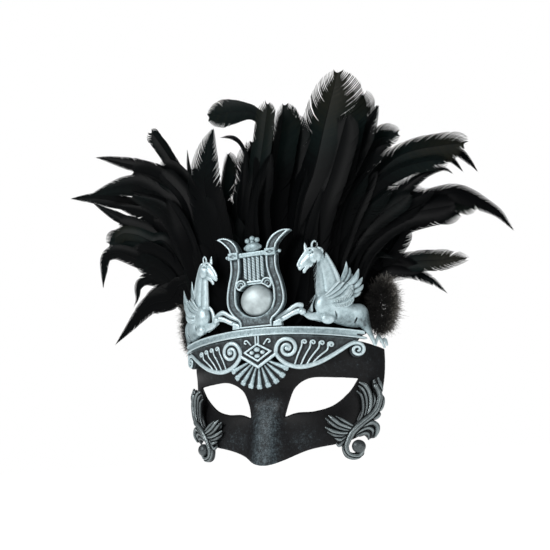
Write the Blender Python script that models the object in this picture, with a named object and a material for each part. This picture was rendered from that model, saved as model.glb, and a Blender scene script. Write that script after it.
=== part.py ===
"""Venetian masquerade half mask: a moulded black shell that carries a cast silver crest
(lyre, two winged horses, scroll frieze, fluted fan), two acanthus sprays and a fan of
glued cock feathers.

Frame: the origin is where the inside of the nose bridge meets the wearer's brow, +X is the
viewer's right, the mask looks along -Y and +Z is up.  Dimensions are in millimetres and
are turned into metres as each mesh is made.

Most pieces follow the plan curve of the brow, so they are laid out flat as (u, n, z): u is
the arc length along the brow from the middle, n the distance out from it, z the height.
"""

import math

import bmesh
import bpy
import numpy as np
from mathutils import Vector

MM = 0.001
GAP = 0.3                 # clearance between pieces that touch

# --- driving dimensions -----------------------------------------------------------------
BROW_HALF_WIDTH = 80.0    # plan curve: superellipse half width ...
BROW_DEPTH = 50.0         # ... and depth
BROW_POWER = 2.2
BROW_Y = -5.0             # its foremost point

SHELL_THICKNESS = 2.0
SHELL_TOP = 46.0          # top edge at the middle
SHELL_TOP_DROP = 14.0     # how far the top edge falls towards the temples
SHELL_REACH = 91.5        # arc length from the middle to the temple edge
FOREHEAD_RAISE = 2.0
SOCKET_DEPTH = 4.0
NOSE_RISE = 9.0

CREST_BACK = 3.4          # n of the back of everything glued on the forehead
LEFT_SPRAY_SHIFT = 6.5    # how much nearer the middle the left leaf spray sits
BAR_TOP = 51.2
BAR_HEIGHT = 5.4
BAR_REACH = 71.0
BAR_DROP = 7.0
BAR_FRONT = 9.0
STANDING_BACK = 3.2       # n of the back of the figures above the bar

DOME_RADIUS = 11.3
DOME_Z = 71.0
STRING_RADIUS = 0.95
STRING_PITCH = 3.3
YOKE_Z = 103.8

VANE_THICKNESS = 1.0
LAYER_PITCH = 1.9
LAYERS = 6
TIP_SPREAD = 3.0          # how much further apart the layers stand at the feather tips

# --- materials --------------------------------------------------------------------------


def material(name, colour, roughness, metallic=0.0):
    mat = bpy.data.materials.new(name)
    mat.use_nodes = True
    shader = mat.node_tree.nodes["Principled BSDF"]
    shader.inputs["Base Color"].default_value = (*colour, 1.0)
    shader.inputs["Roughness"].default_value = roughness
    shader.inputs["Metallic"].default_value = metallic
    return mat


def all_materials():
    return {
        "shell": material("satin_black", (0.018, 0.018, 0.02), 0.55),
        "silver": material("antique_silver", (0.52, 0.58, 0.58), 0.38, 0.75),
        "pewter": material("dark_pewter", (0.16, 0.18, 0.18), 0.4, 0.7),
        "feather": material("black_feather", (0.008, 0.012, 0.011), 0.5),
        "down": material("grey_down", (0.11, 0.1, 0.09), 0.9),
        "felt": material("black_felt", (0.02, 0.02, 0.02), 0.95),
    }


# --- the brow curve ---------------------------------------------------------------------


def brow_y(x):
    """Depth of the plan curve at x."""
    t = min(abs(x) / BROW_HALF_WIDTH, 0.9999)
    return BROW_Y + BROW_DEPTH * (1.0 - (1.0 - t ** BROW_POWER) ** (1.0 / BROW_POWER))


def brow_table(steps=4000):
    """x and y of the plan curve against arc length."""
    x = np.linspace(0.0, BROW_HALF_WIDTH * 0.9995, steps)
    y = np.array([brow_y(value) for value in x])
    u = np.concatenate([[0.0], np.cumsum(np.hypot(np.diff(x), np.diff(y)))])
    return u, x, y


BROW_U, BROW_X, BROW_Y_TABLE = brow_table()


def on_brow(u, n, z):
    """World point of the flat layout point (u, n, z), in metres."""
    side = 1.0 if u >= 0 else -1.0
    reach = abs(u)
    x = np.interp(reach, BROW_U, BROW_X)
    y = np.interp(reach, BROW_U, BROW_Y_TABLE)
    step = 0.25
    tx = np.interp(reach + step, BROW_U, BROW_X) - np.interp(max(reach - step, 0), BROW_U, BROW_X)
    ty = np.interp(reach + step, BROW_U, BROW_Y_TABLE) - y
    ty += y - np.interp(max(reach - step, 0), BROW_U, BROW_Y_TABLE)
    length = math.hypot(tx, ty)
    return Vector((side * (x + n * ty / length), y - n * tx / length, z)) * MM


# --- mesh helpers -----------------------------------------------------------------------


def finish_mesh(name, mesh, mat, smooth=True, angle=40.0):
    obj = bpy.data.objects.new(name, mesh)
    bpy.context.scene.collection.objects.link(obj)
    mesh.materials.clear()
    mesh.materials.append(mat)
    if smooth:
        mesh.shade_smooth()
        mesh.set_sharp_from_angle(angle=math.radians(angle))
    return obj


def mesh_from(name, bm):
    bmesh.ops.recalc_face_normals(bm, faces=bm.faces)
    if bm.calc_volume(signed=True) < 0.0:
        bmesh.ops.reverse_faces(bm, faces=bm.faces)
    mesh = bpy.data.meshes.new(name)
    bm.to_mesh(mesh)
    bm.free()
    return mesh


def mirrored(name, mesh, mat):
    """The same piece for the other side of the mask."""
    bm = bmesh.new()
    bm.from_mesh(mesh)
    for vert in bm.verts:
        vert.co.x = -vert.co.x
    bmesh.ops.reverse_faces(bm, faces=bm.faces)
    other = bpy.data.meshes.new(name)
    bm.to_mesh(other)
    bm.free()
    return finish_mesh(name, other, mat)


def add_ball(bm, centre, radius):
    ball = bmesh.ops.create_icosphere(bm, subdivisions=2, radius=radius)
    bmesh.ops.translate(bm, vec=centre, verts=ball["verts"])


def add_link(bm, start, start_radius, end, end_radius):
    """A cone frustum between two balls."""
    axis = end - start
    link = bmesh.ops.create_cone(bm, cap_ends=True, cap_tris=False, segments=12,
                                 radius1=start_radius, radius2=end_radius, depth=axis.length)
    turn = Vector((0, 0, 1)).rotation_difference(axis)
    for vert in link["verts"]:
        vert.co = turn @ vert.co + (start + end) * 0.5


def add_plate(bm, outline, back, front):
    """A flat slab with the outline (u, z), from n = back to n = front."""
    corners = [bm.verts.new((u, -back, z)) for u, z in outline]
    face = bm.faces.new(corners)
    lifted = bmesh.ops.extrude_face_region(bm, geom=[face])
    verts = [item for item in lifted["geom"] if isinstance(item, bmesh.types.BMVert)]
    bmesh.ops.translate(bm, vec=(0, back - front, 0), verts=verts)


def relief(name, strokes=(), plates=(), flatness=1.0, voxel=0.8, target=600):
    """One cast piece: tapered strokes and slabs fused together and bent along the brow.

    A stroke is a list of (u, n, z, radius).  flatness squashes the round strokes in n.
    """
    bm = bmesh.new()
    for stroke in strokes:
        points = [Vector((u, -n / flatness, z)) for u, n, z, _ in stroke]
        radii = [point[3] for point in stroke]
        for centre, radius in zip(points, radii):
            add_ball(bm, centre, radius)
        for index in range(len(points) - 1):
            add_link(bm, points[index], radii[index], points[index + 1], radii[index + 1])
    for outline, back, front in plates:
        add_plate(bm, outline, back / flatness, front / flatness)
    fused = modified(mesh_from(name, bm), fuse_strokes, voxel)
    for vert in fused.vertices:
        vert.co = on_brow(vert.co.x, -vert.co.y * flatness, vert.co.z)
    return modified(fused, thin_out, target / (2.0 * len(fused.polygons)))


def fuse_strokes(obj, voxel):
    fuse = obj.modifiers.new("Fuse", "REMESH")
    fuse.mode = "VOXEL"
    fuse.voxel_size = voxel
    smooth = obj.modifiers.new("Smooth", "SMOOTH")
    smooth.factor = 0.5
    smooth.iterations = 2


def thin_out(obj, ratio):
    thin = obj.modifiers.new("Thin", "DECIMATE")
    thin.ratio = min(1.0, ratio)


def modified(mesh, add_modifiers, amount):
    """The mesh as the given modifiers leave it."""
    name = mesh.name
    obj = bpy.data.objects.new(name, mesh)
    bpy.context.scene.collection.objects.link(obj)
    add_modifiers(obj, amount)
    graph = bpy.context.evaluated_depsgraph_get()
    graph.update()
    done = bpy.data.meshes.new_from_object(obj.evaluated_get(graph))
    bpy.data.objects.remove(obj)
    bpy.data.meshes.remove(mesh)
    done.name = name
    return done


def sweep(name, stations, blade=False):
    """A closed bar through cross-sections, each a list of world points in the same order.

    A blade has cross-sections (edge, front, edge, back).  Its faces are triangles whose
    diagonals all start at an edge, so that its front and back stay parallel where it twists.
    """
    bm = bmesh.new()
    rings = [[bm.verts.new(point) for point in ring] for ring in stations]
    size = len(rings[0])
    for near, far in zip(rings, rings[1:]):
        for index in range(size):
            nxt = (index + 1) % size
            if not blade:
                bm.faces.new((near[index], near[nxt], far[nxt], far[index]))
            elif index % 2 == 0:
                bm.faces.new((near[index], near[nxt], far[nxt]))
                bm.faces.new((near[index], far[nxt], far[index]))
            else:
                bm.faces.new((near[index], near[nxt], far[index]))
                bm.faces.new((near[nxt], far[nxt], far[index]))
    bm.faces.new(list(reversed(rings[0])))
    bm.faces.new(rings[-1])
    return mesh_from(name, bm)


# --- the shell --------------------------------------------------------------------------


def bell(value, centre, width):
    return math.exp(-((value - centre) / width) ** 2)


def smooth_step(value, low, high):
    t = min(max((value - low) / (high - low), 0.0), 1.0)
    return t * t * (3.0 - 2.0 * t)


def skin(u, z):
    """How far the outside of the shell stands off the brow curve at (u, z)."""
    raised = FOREHEAD_RAISE * smooth_step(z, 15.0, 25.0) * (1.0 - smooth_step(abs(u), 66.0, 86.0))
    socket = -SOCKET_DEPTH * math.exp(-abs((abs(u) - 34.0) / 30.0) ** 3 - abs((z - 2.0) / 13.0) ** 3)
    bridge = -SOCKET_DEPTH * bell(u, 0.0, 16.0) * bell(z, 2.0, 12.0)
    fall = min(max(-z / 42.0, 0.0), 1.0)
    ridge_width = 7.0 + 8.0 * fall
    nose = NOSE_RISE * fall * math.exp(-abs(u / ridge_width) ** 3)
    cheek = 1.6 * bell(abs(u), 46.0, 22.0) * bell(z, -26.0, 12.0)
    return raised + min(socket, bridge) + nose + cheek


def top_edge(u):
    return SHELL_TOP - SHELL_TOP_DROP * (u / SHELL_REACH) ** 2


def bottom_edge(u):
    """Lower edge, with the nose flap in the middle and the cheeks rising to the sides."""
    return -32.0 - 11.5 * bell(u, 0.0, 24.0) + 8.0 * (abs(u) / 70.0) ** 6


def shell_surface(columns=48, rows=14):
    bm = bmesh.new()
    grid = []
    for row in range(rows + 1):
        t = row / rows
        reach = SHELL_REACH - 21.5 * t ** 2.2
        line = []
        for column in range(columns + 1):
            s = 2.0 * column / columns - 1.0
            low = bottom_edge(70.0 * s)
            z = top_edge(SHELL_REACH * s) * (1.0 - t) + low * t
            u = s * reach
            line.append(bm.verts.new(on_brow(u, skin(u, z), z)))
        grid.append(line)
    for upper, lower in zip(grid, grid[1:]):
        for left in range(columns):
            bm.faces.new((upper[left], lower[left], lower[left + 1], upper[left + 1]))
    mesh = bpy.data.meshes.new("mask_shell")
    bm.to_mesh(mesh)
    bm.free()
    return mesh


def eye_outline(steps=5):
    """Almond of one eye opening in (x, z): a Catmull-Rom curve through its turning points."""
    upper = [(13.6, -11.0), (16.2, -1.5), (21.5, 8.5), (33.0, 14.2), (50.0, 13.6), (63.0, 12.2)]
    lower = [(63.0, 12.2), (57.0, 3.6), (46.5, -4.8), (34.0, -8.2), (22.0, -8.6), (13.6, -11.0)]
    outline = []
    for run in (upper, lower):
        knots = [run[0]] + run + [run[-1]]
        for a, b, c, d in zip(knots, knots[1:], knots[2:], knots[3:]):
            for index in range(steps):
                t = index / steps
                outline.append(tuple(
                    0.5 * (2 * q + (r - p) * t + (2 * p - 5 * q + 4 * r - s) * t ** 2
                           + (3 * q - p - 3 * r + s) * t ** 3)
                    for p, q, r, s in zip(a, b, c, d)))
    return outline


def eye_cutter(side):
    bm = bmesh.new()
    ring = [bm.verts.new((side * x * MM, -0.03, z * MM)) for x, z in eye_outline()]
    face = bm.faces.new(ring)
    lifted = bmesh.ops.extrude_face_region(bm, geom=[face])
    verts = [item for item in lifted["geom"] if isinstance(item, bmesh.types.BMVert)]
    bmesh.ops.translate(bm, vec=(0, 0.07, 0), verts=verts)
    cutter = bpy.data.objects.new("eye_cutter", mesh_from("eye_cutter", bm))
    bpy.context.scene.collection.objects.link(cutter)
    cutter.hide_render = True
    cutter.display_type = "WIRE"
    return cutter


def make_shell(mats):
    shell = finish_mesh("mask_shell", shell_surface(), mats["shell"])
    solid = shell.modifiers.new("Thickness", "SOLIDIFY")
    solid.thickness = SHELL_THICKNESS * MM
    solid.offset = -1.0
    for side in (-1, 1):
        cut = shell.modifiers.new("Eye", "BOOLEAN")
        cut.operation = "DIFFERENCE"
        cut.solver = "EXACT"
        cut.object = eye_cutter(side)


def make_tie_pads(mats):
    """Felt pads inside the temples, where the ribbon ends are glued."""
    centre_u, half_length, low, high = 82.0, 5.0, 12.0, 28.0
    middle = on_brow(centre_u, 0.0, 0.0)
    outward = (on_brow(centre_u, 1.0, 0.0) - middle) / MM
    along = Vector((-outward.y, outward.x, 0.0))
    for side, name in ((1, "tie_pad_right"), (-1, "tie_pad_left")):
        rings = []
        for z in (low, high):
            ring = []
            for a, n in ((-half_length, -3.8), (half_length, -3.8), (half_length, -3.0), (-half_length, -3.0)):
                point = middle + along * a * MM + outward * n * MM
                ring.append(Vector((side * point.x, point.y, z * MM)))
            rings.append(ring)
        finish_mesh(name, sweep(name, rings), mats["felt"], smooth=False)


# --- the crest --------------------------------------------------------------------------


def bar_top(u):
    return BAR_TOP - BAR_DROP * (u / BAR_REACH) ** 2


def make_bar(mats, steps=36):
    """The ledge that the figures stand on, with chamfered edges."""
    chamfer = 1.0
    stations = []
    for index in range(steps + 1):
        u = BAR_REACH * (2.0 * index / steps - 1.0)
        top = bar_top(u)
        low = top - BAR_HEIGHT
        ring = [(CREST_BACK, low), (BAR_FRONT - chamfer, low), (BAR_FRONT, low + chamfer),
                (BAR_FRONT, top - chamfer), (BAR_FRONT - chamfer, top), (CREST_BACK, top)]
        stations.append([on_brow(u, n, z) for n, z in ring])
    finish_mesh("crest_bar", sweep("crest_bar", stations), mats["silver"], angle=25)


def spiral(centre, start_radius, end_radius, start_angle, turns, n, thickness, steps=14):
    """A scroll stroke that winds inwards; angles are in degrees."""
    stroke = []
    for index in range(steps + 1):
        t = index / steps
        angle = math.radians(start_angle + 360.0 * turns * t)
        radius = start_radius + (end_radius - start_radius) * t
        stroke.append((centre[0] + radius * math.cos(angle), n,
                       centre[1] + radius * math.sin(angle), thickness))
    return stroke


def make_frieze(mats):
    """Scroll panel under the bar: a big volute, four hooked ribs and a small end volute."""
    top = [(u, bar_top(u) - BAR_HEIGHT - GAP - 0.1) for u in (13.8, 25, 36, 47, 56, 63, 68)]
    low = [(69, 38.6), (62, 36.6), (56, 32.6), (48, 28.4), (40, 25.2), (33, 23.4),
           (26, 23.2), (20.5, 26.2), (14.2, 31.0)]
    strokes = [
        spiral((19.6, 36.4), 6.4, 1.4, 150, -1.6, 7.0, 1.5),
        [(21, 6.5, 26.6, 1.2), (26, 6.5, 24.3, 1.4), (33, 6.5, 24.4, 1.5), (40, 6.5, 26.2, 1.5),
         (48, 6.5, 29.6, 1.5), (56, 6.5, 33.8, 1.5), (62, 6.5, 37.2, 1.5), (66, 6.5, 37.4, 1.4)],
        spiral((66.0, 32.8), 4.4, 1.0, 90, -1.4, 6.0, 1.4),
    ]
    for index in range(4):
        head = 33.6 + 5.6 * index
        foot = 27.2 + 5.2 * index
        foot_z = 26.0 + 0.25 * index ** 2
        strokes.append([(foot, 5.8, foot_z, 0.7), (head - 2.6, 5.8, 33.6, 0.8),
                        (head - 1.6, 5.8, 40.2 - 0.7 * index, 0.9), (head + 0.6, 5.8, 40.6 - 0.7 * index, 0.9)])
    end = [(61.6, 32.8), (63, 29.5), (66, 28), (69, 29.5), (70.4, 32.8), (69, 36.2), (66, 37.4), (63, 36.2)]
    plates = [(top + low, CREST_BACK, 5.2), (end, CREST_BACK, 4.6)]
    mesh = relief("frieze_panel_right", strokes, plates, voxel=0.7, target=640)
    finish_mesh("frieze_panel_right", mesh, mats["silver"])
    mirrored("frieze_panel_left", mesh, mats["silver"])


def make_diamond(mats):
    """Stepped lozenge between the two panels."""
    half_width, half_height, centre_z = 12.6, 7.7, 32.9
    rings = []
    for scale, n in ((1.0, CREST_BACK), (1.0, 5.8), (0.8, 7.4), (0.5, 7.4), (0.3, 8.4)):
        corners = [(half_width, 0.0), (0.0, half_height), (-half_width, 0.0), (0.0, -half_height)]
        rings.append([on_brow(u * scale, n, centre_z + z * scale) for u, z in corners])
    finish_mesh("diamond_boss", sweep("diamond_boss", rings), mats["silver"], angle=15)


def make_fan(mats):
    """Nine flutes that spread down from under the lozenge."""
    strokes = []
    for index in range(-4, 5):
        angle = math.radians(19.0 * index)
        tip = (20.2 * math.sin(angle), 6.0, 26.6 - 15.6 * math.cos(angle))
        start_u = 6.2 * math.sin(angle)
        start_z = 23.6 + 0.36 * abs(start_u)
        width = 2.2 - 0.14 * abs(index)
        strokes.append([(start_u, 5.2, start_z, 0.9), (*tip, width)])
    web = [(20 * math.sin(math.radians(a)), 26.6 - 15.4 * math.cos(math.radians(a))) for a in range(-76, 77, 19)]
    web += [(7.0, 26.0), (0.0, 23.4), (-7.0, 26.0)]
    mesh = relief("shell_fan", strokes, [(web, CREST_BACK, 5.0)], voxel=0.7, target=460)
    finish_mesh("shell_fan", mesh, mats["silver"])


def make_lyre(mats):
    """Lyre frame, its yoke, five strings, tailpiece, sound dome and finial."""
    n = 6.2
    arm = [(0, n, 55.5, 3.0), (6, n, 56.1, 3.1), (9.7, n, 59.0, 3.0), (13.4, n, 62.2, 3.0),
           (16.8, n, 65.9, 3.0), (18.9, n, 71.5, 3.1), (18.2, n, 78.5, 3.1), (16.2, n, 86.5, 3.0),
           (14.8, n, 93.0, 2.8), (14.2, n, 97.4, 2.6), (14.2, 4.6, 101.0, 1.4), (14.3, 4.6, 106.8, 1.4),
           (14.9, n, 109.6, 2.2), (17.4, n, 113.0, 2.3), (21.6, n, 116.2, 2.0), (26.0, n, 117.8, 1.3),
           (29.8, n, 118.3, 0.6)]
    scroll = spiral((9.9, 83.0), 2.8, 0.8, 10, -1.2, n, 1.2, steps=8)
    hanger = [(14.0, n, 90.0, 1.0), (12.9, n, 84.5, 1.2)]
    right = [arm, scroll, hanger]
    left = [[(-u, depth, z, r) for u, depth, z, r in stroke] for stroke in right]
    foot = [(-12.2, 51.6), (12.2, 51.6), (11.8, 56.5), (-11.8, 56.5)]
    back = [(-12.5, 85.5), (12.5, 85.5), (12.0, 101.0), (-12.0, 101.0)]
    plates = [(foot, STANDING_BACK, 9.0), (back, STANDING_BACK, 5.0)]
    mesh = relief("lyre_frame", right + left, plates, voxel=0.8, target=1100)
    finish_mesh("lyre_frame", mesh, mats["silver"])

    rings = []
    for u, half_z, half_n in ((-21.2, 0.4, 0.4), (-20.7, 1.1, 1.1), (-19.4, 1.1, 1.1), (-18.9, 0.5, 0.5),
                              (-18.3, 0.5, 0.5), (-18.3, 2.2, 1.5), (-10.2, 2.2, 1.5), (-10.2, 1.6, 1.1),
                              (10.2, 1.6, 1.1), (10.2, 2.2, 1.5), (18.3, 2.2, 1.5), (18.3, 0.5, 0.5),
                              (18.9, 0.5, 0.5), (19.4, 1.1, 1.1), (20.7, 1.1, 1.1), (21.2, 0.4, 0.4)):
        rings.append([on_brow(u, 8.1 + half_n * side, YOKE_Z + half_z * rise)
                      for side, rise in ((1, 1), (-1, 1), (-1, -1), (1, -1))])
    finish_mesh("lyre_yoke", sweep("lyre_yoke", rings), mats["silver"], smooth=False)

    for index in range(-2, 3):
        low = 84.9 if abs(index) < 2 else 87.6
        high = YOKE_Z - 1.6 - GAP
        place = on_brow(index * STRING_PITCH, 7.0, (low + high) / 2)
        bm = bmesh.new()
        bmesh.ops.create_cone(bm, cap_ends=True, segments=10, radius1=STRING_RADIUS * MM,
                              radius2=STRING_RADIUS * MM, depth=(high - low) * MM)
        name = "lyre_string_%d" % (index + 3)
        string = finish_mesh(name, mesh_from(name, bm), mats["silver"])
        string.location = place

    rings = [[on_brow(u, depth, z) for depth, z in ((5.6, 82.9), (8.0, 82.9), (8.0, 84.5), (5.6, 84.5))]
             for u in (-5.4, 0.0, 5.4)]
    finish_mesh("lyre_tailpiece", sweep("lyre_tailpiece", rings), mats["silver"], smooth=False)

    bm = bmesh.new()
    profile = [bm.verts.new((0, -10.4, 0))]
    for index in range(1, 7):
        angle = math.radians(15.0 * index)
        profile.append(bm.verts.new((DOME_RADIUS * math.sin(angle), -4.2 - 6.2 * math.cos(angle), 0)))
    profile.append(bm.verts.new((DOME_RADIUS, -STANDING_BACK, 0)))
    profile.append(bm.verts.new((0, -STANDING_BACK, 0)))
    for near, far in zip(profile, profile[1:]):
        bm.edges.new((near, far))
    bmesh.ops.spin(bm, geom=bm.verts[:] + bm.edges[:], cent=(0, 0, 0), axis=(0, 1, 0),
                   angle=2 * math.pi, steps=24)
    bmesh.ops.remove_doubles(bm, verts=bm.verts, dist=0.01)
    for vert in bm.verts:
        vert.co = on_brow(vert.co.x, -vert.co.y, vert.co.z + DOME_Z)
    finish_mesh("lyre_dome", mesh_from("lyre_dome", bm), mats["silver"])

    cushion = [[(-4.6, 7.0, 109.0, 2.4), (0, 7.0, 109.4, 2.9), (4.6, 7.0, 109.0, 2.4)]]
    beads = [[(0, 7.0, 116.0, 2.2)], [(-4.3, 7.0, 114.0, 2.1)], [(4.3, 7.0, 114.0, 2.1)], [(0, 7.0, 113.2, 2.0)]]
    mesh = relief("lyre_finial", cushion + beads, voxel=0.6, target=400)
    finish_mesh("lyre_finial", mesh, mats["silver"])


HORSE_NECK = [(45.4, 96.5, 5.2), (47.4, 88.0, 6.0), (49.2, 80.0, 7.4), (50.4, 72.5, 8.2), (50.6, 65.5, 8.8)]
HORSE_HEAD = [(44.2, 97.6, 4.8), (39.6, 97.2, 4.2), (35.8, 93.4, 3.2), (33.8, 90.6, 2.5)]
HORSE_CHIN = [(40.5, 93.4, 3.0), (36.2, 88.8, 1.8)]
HORSE_EARS = [[(39.6, 101.6, 2.0), (37.6, 107.4, 0.6)], [(43.8, 102.4, 1.8), (43.8, 108.4, 0.7)]]
HORSE_TRUNK = [(50.6, 65.5, 8.8), (56.0, 60.6, 7.4), (62.5, 56.0, 7.4), (68.6, 55.2, 6.8)]
HORSE_ELBOW = [(50.0, 62.0, 7.0), (50.6, 55.0, 4.4)]
NEAR_FORELEG = [(49.0, 56.5, 4.6), (43.5, 55.8, 3.2), (38.3, 56.3, 2.5), (34.0, 59.3, 2.1), (31.3, 60.9, 1.9),
                (27.0, 60.0, 1.7), (22.8, 58.0, 1.6), (18.8, 56.2, 1.6), (16.2, 54.0, 1.9)]
FAR_FORELEG = [(36.5, 62.0, 1.8), (30.4, 64.2, 1.6), (23.0, 61.6, 1.4), (17.2, 59.0, 1.2)]
FAR_CHEST = [(42.5, 71.0, 1.6), (39.2, 66.2, 1.4), (38.4, 61.0, 1.6)]
HIND_LEG = [(69.4, 53.5, 6.2), (72.2, 49.0, 3.6), (75.0, 43.8, 2.0), (77.0, 38.8, 1.4), (78.4, 35.2, 1.3),
            (81.6, 41.0, 1.2), (84.0, 35.8, 1.1), (85.2, 33.0, 1.1)]
FAR_HOCK = [(84.0, 35.8, 1.1), (87.0, 37.6, 1.6), (88.0, 34.4, 1.4)]
WING_PRIMARIES = [[(63.5, 75.6), (67.2, 80.6), (69.6, 86.2)], [(64.2, 73.4), (69.2, 76.6), (71.6, 80.2)],
                  [(64.0, 71.0), (69.4, 73.0), (71.8, 75.4)], [(62.5, 68.8), (67.0, 69.2), (70.2, 70.8)]]


def at_depth(points, n, thinner=0.0):
    return [(u, n, z, radius - thinner) for u, z, radius in points]


def make_horses(mats):
    """Rearing winged horse on the right of the lyre, and its mirror image on the left."""
    n = 6.0
    strokes = [at_depth(points, n) for points in (HORSE_NECK, HORSE_HEAD, HORSE_CHIN, HORSE_TRUNK,
                                                  HORSE_ELBOW, NEAR_FORELEG, HIND_LEG, FAR_HOCK)]
    strokes += [at_depth(points, 4.6) for points in (FAR_FORELEG, FAR_CHEST)]
    strokes += [at_depth(points, 5.4) for points in HORSE_EARS]
    horse = relief("horse_right", strokes, flatness=0.32, voxel=0.8, target=820)
    finish_mesh("horse_right", horse, mats["silver"])
    mirrored("horse_left", horse, mats["silver"])

    front = 10.2
    strokes = [at_depth([(51.5, 66.0, 2.6), (57.0, 67.0, 5.6), (61.6, 70.6, 4.8)], front),
               at_depth([(52.0, 70.0, 2.2), (58.0, 74.0, 2.8), (62.6, 75.0, 2.4)], front)]
    strokes += [[(u, front, z, radius) for (u, z), radius in zip(points, (1.9, 1.6, 0.7))]
                for points in WING_PRIMARIES]
    wing = relief("wing_near_right", strokes, flatness=0.15, voxel=0.8, target=360)
    finish_mesh("wing_near_right", wing, mats["silver"])
    mirrored("wing_near_left", wing, mats["silver"])

    back = 4.4
    quills = [[(60.8, 81.4), (62.6, 86.0), (63.4, 92.0)], [(61.0, 79.8), (64.4, 83.6), (65.6, 88.0)],
              [(61.4, 78.6), (65.0, 79.8), (66.6, 83.0)]]
    strokes = [[(u, back, z, radius) for (u, z), radius in zip(points, (1.5, 1.4, 0.6))] for points in quills]
    wing = relief("wing_far_right", strokes, flatness=0.7, voxel=0.6, target=240)
    finish_mesh("wing_far_right", wing, mats["silver"])
    mirrored("wing_far_left", wing, mats["silver"])


def make_acanthus(mats):
    """Leaf spray on each cheek, with a pearl in its lower curl; the left one is glued nearer the middle."""
    n = 4.4
    stem = [(65.6, -38.0, 1.8), (61.5, -39.4, 2.4), (56.6, -38.0, 2.5), (54.8, -33.5, 2.4), (57.0, -27.0, 2.4),
            (62.0, -20.9, 2.4), (68.6, -15.6, 2.5), (75.0, -9.8, 2.5), (78.6, -3.6, 2.6), (79.2, 3.2, 2.4),
            (78.8, 10.0, 1.6)]
    leaves = [
        [(68.4, -13.8, 2.2), (71.8, -6.6, 2.6), (72.0, 0.6, 2.6), (70.4, 6.2, 2.0), (67.6, 8.6, 1.2)],
        [(64.0, -17.4, 1.4), (67.8, -9.8, 1.4), (68.4, -2.6, 1.4), (66.6, 2.4, 0.9)],
        [(60.8, -20.6, 1.8), (55.0, -17.9, 2.4), (49.6, -15.6, 2.3), (45.4, -12.9, 1.1)],
        [(58.0, -24.6, 1.8), (52.6, -24.0, 2.3), (47.0, -21.6, 1.7)],
        [(64.6, -21.0, 2.0), (71.4, -19.6, 2.6), (75.0, -21.8, 2.2), (74.8, -26.2, 1.3)],
        [(65.0, -24.0, 1.5), (69.6, -24.4, 1.7), (70.8, -28.0, 1.1)],
    ]
    for side, shift in (("right", 0.0), ("left", LEFT_SPRAY_SHIFT)):
        strokes = [[(u - shift, depth, z, radius) for u, depth, z, radius in at_depth(points, n)]
                   for points in [stem] + leaves]
        spray = relief("acanthus_" + side, strokes, flatness=0.7, voxel=0.8, target=600)
        pearl = relief("acanthus_pearl_" + side, [[(63.8 - shift, 4.8, -32.5, 3.9)]], voxel=0.7, target=200)
        for name, mesh in (("acanthus_" + side, spray), ("acanthus_pearl_" + side, pearl)):
            if side == "left":
                mirrored(name, mesh, mats["pewter"])
            else:
                finish_mesh(name, mesh, mats["pewter"])


# --- feathers ---------------------------------------------------------------------------

# root x, tip x, tip z, sideways bow, half width, layer; negative x is the left of the mask
FEATHERS = [
    (-52, -148, 64, -26, 11, 0), (-50, -163, 98, -28, 11, 1), (-47, -164, 130, -16, 14, 2),
    (-45, -165, 171, -10, 13, 3), (-42, -188, 180, -14, 8, 4), (-40, -172, 182, 4, 14, 0),
    (-37, -153, 190, 4, 12, 1), (-33, -161, 210, -10, 14, 2), (-28, -106, 222, -4, 11, 3),
    (-24, -78, 190, 6, 15, 4), (-19, -40, 207, 6, 17, 0), (-14, -112, 118, -20, 15, 5),
    (-10, -44, 218, -26, 14, 3), (-5, -8, 192, 2, 8, 1), (2, 5, 219, 2, 15, 2),
    (8, 36, 206, -6, 15, 4), (14, 64, 232, 4, 27, 1), (20, 92, 204, -9, 17, 3),
    (26, 110, 184, -7, 17, 0), (31, 140, 174, -11, 16, 2), (35, 152, 164, -5, 15, 4),
    (39, 157, 141, -13, 13, 1), (42, 177, 101, -34, 13, 3), (45, 143, 119, -14, 14, 0),
    (48, 146, 87, -24, 13, 2), (51, 131, 65, -24, 11, 4), (54, 112, 133, -16, 15, 5),
]
ROOT_Z = 31.0


def fan_depth(x, z):
    """Depth of the frontmost feather layer: it wraps the brow low down and flattens higher up."""
    side = 26.0 - 10.0 * smooth_step(z, 60.0, 140.0)
    return -2.0 + side * math.tanh(1.1 * (abs(x) / 70.0) ** 3)


def layer_offset(layer, z):
    """The layers lie close together at the roots and open out in depth towards the tips."""
    return layer * LAYER_PITCH + (layer - 1.5) * TIP_SPREAD * smooth_step(z, 60.0, 220.0)


def feather_mesh(name, root_x, tip_x, tip_z, bow, half_width, layer, steps=15):
    """A thin blade along a bowed quill: narrow at the root, broad past the middle."""
    root = Vector((root_x, ROOT_Z + 0.02 * abs(root_x)))
    tip = Vector((tip_x, tip_z))
    chord = tip - root
    across = Vector((-chord.y, chord.x)).normalized()
    bend = (root + tip) * 0.5 + across * bow * -math.copysign(1.0, tip_x)
    stations = []
    for index in range(steps + 1):
        t = index / steps
        centre = root * (1 - t) ** 2 + bend * 2 * t * (1 - t) + tip * t ** 2
        heading = ((bend - root) * (1 - t) + (tip - bend) * t).normalized()
        normal = Vector((-heading.y, heading.x))
        width = 1.0 + (half_width - 1.0) * smooth_step(t, 0.08, 0.55) * (1.0 - t ** 6) ** 0.5
        if index == steps:
            width = 0.8
        ring = []
        for side, lift in ((-1, 0.12), (0, -0.5), (1, 0.12), (0, 0.5)):
            flat = centre + normal * side * width
            y = fan_depth(flat.x, flat.y) + layer_offset(layer, flat.y) + lift * VANE_THICKNESS
            ring.append(Vector((flat.x, y, flat.y)) * MM)
        stations.append(ring)
    return sweep(name, stations, blade=True)


def make_feathers(mats):
    for index, shape in enumerate(FEATHERS):
        name = "feather_%02d" % (index + 1)
        finish_mesh(name, feather_mesh(name, *shape), mats["feather"], angle=60)


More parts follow.
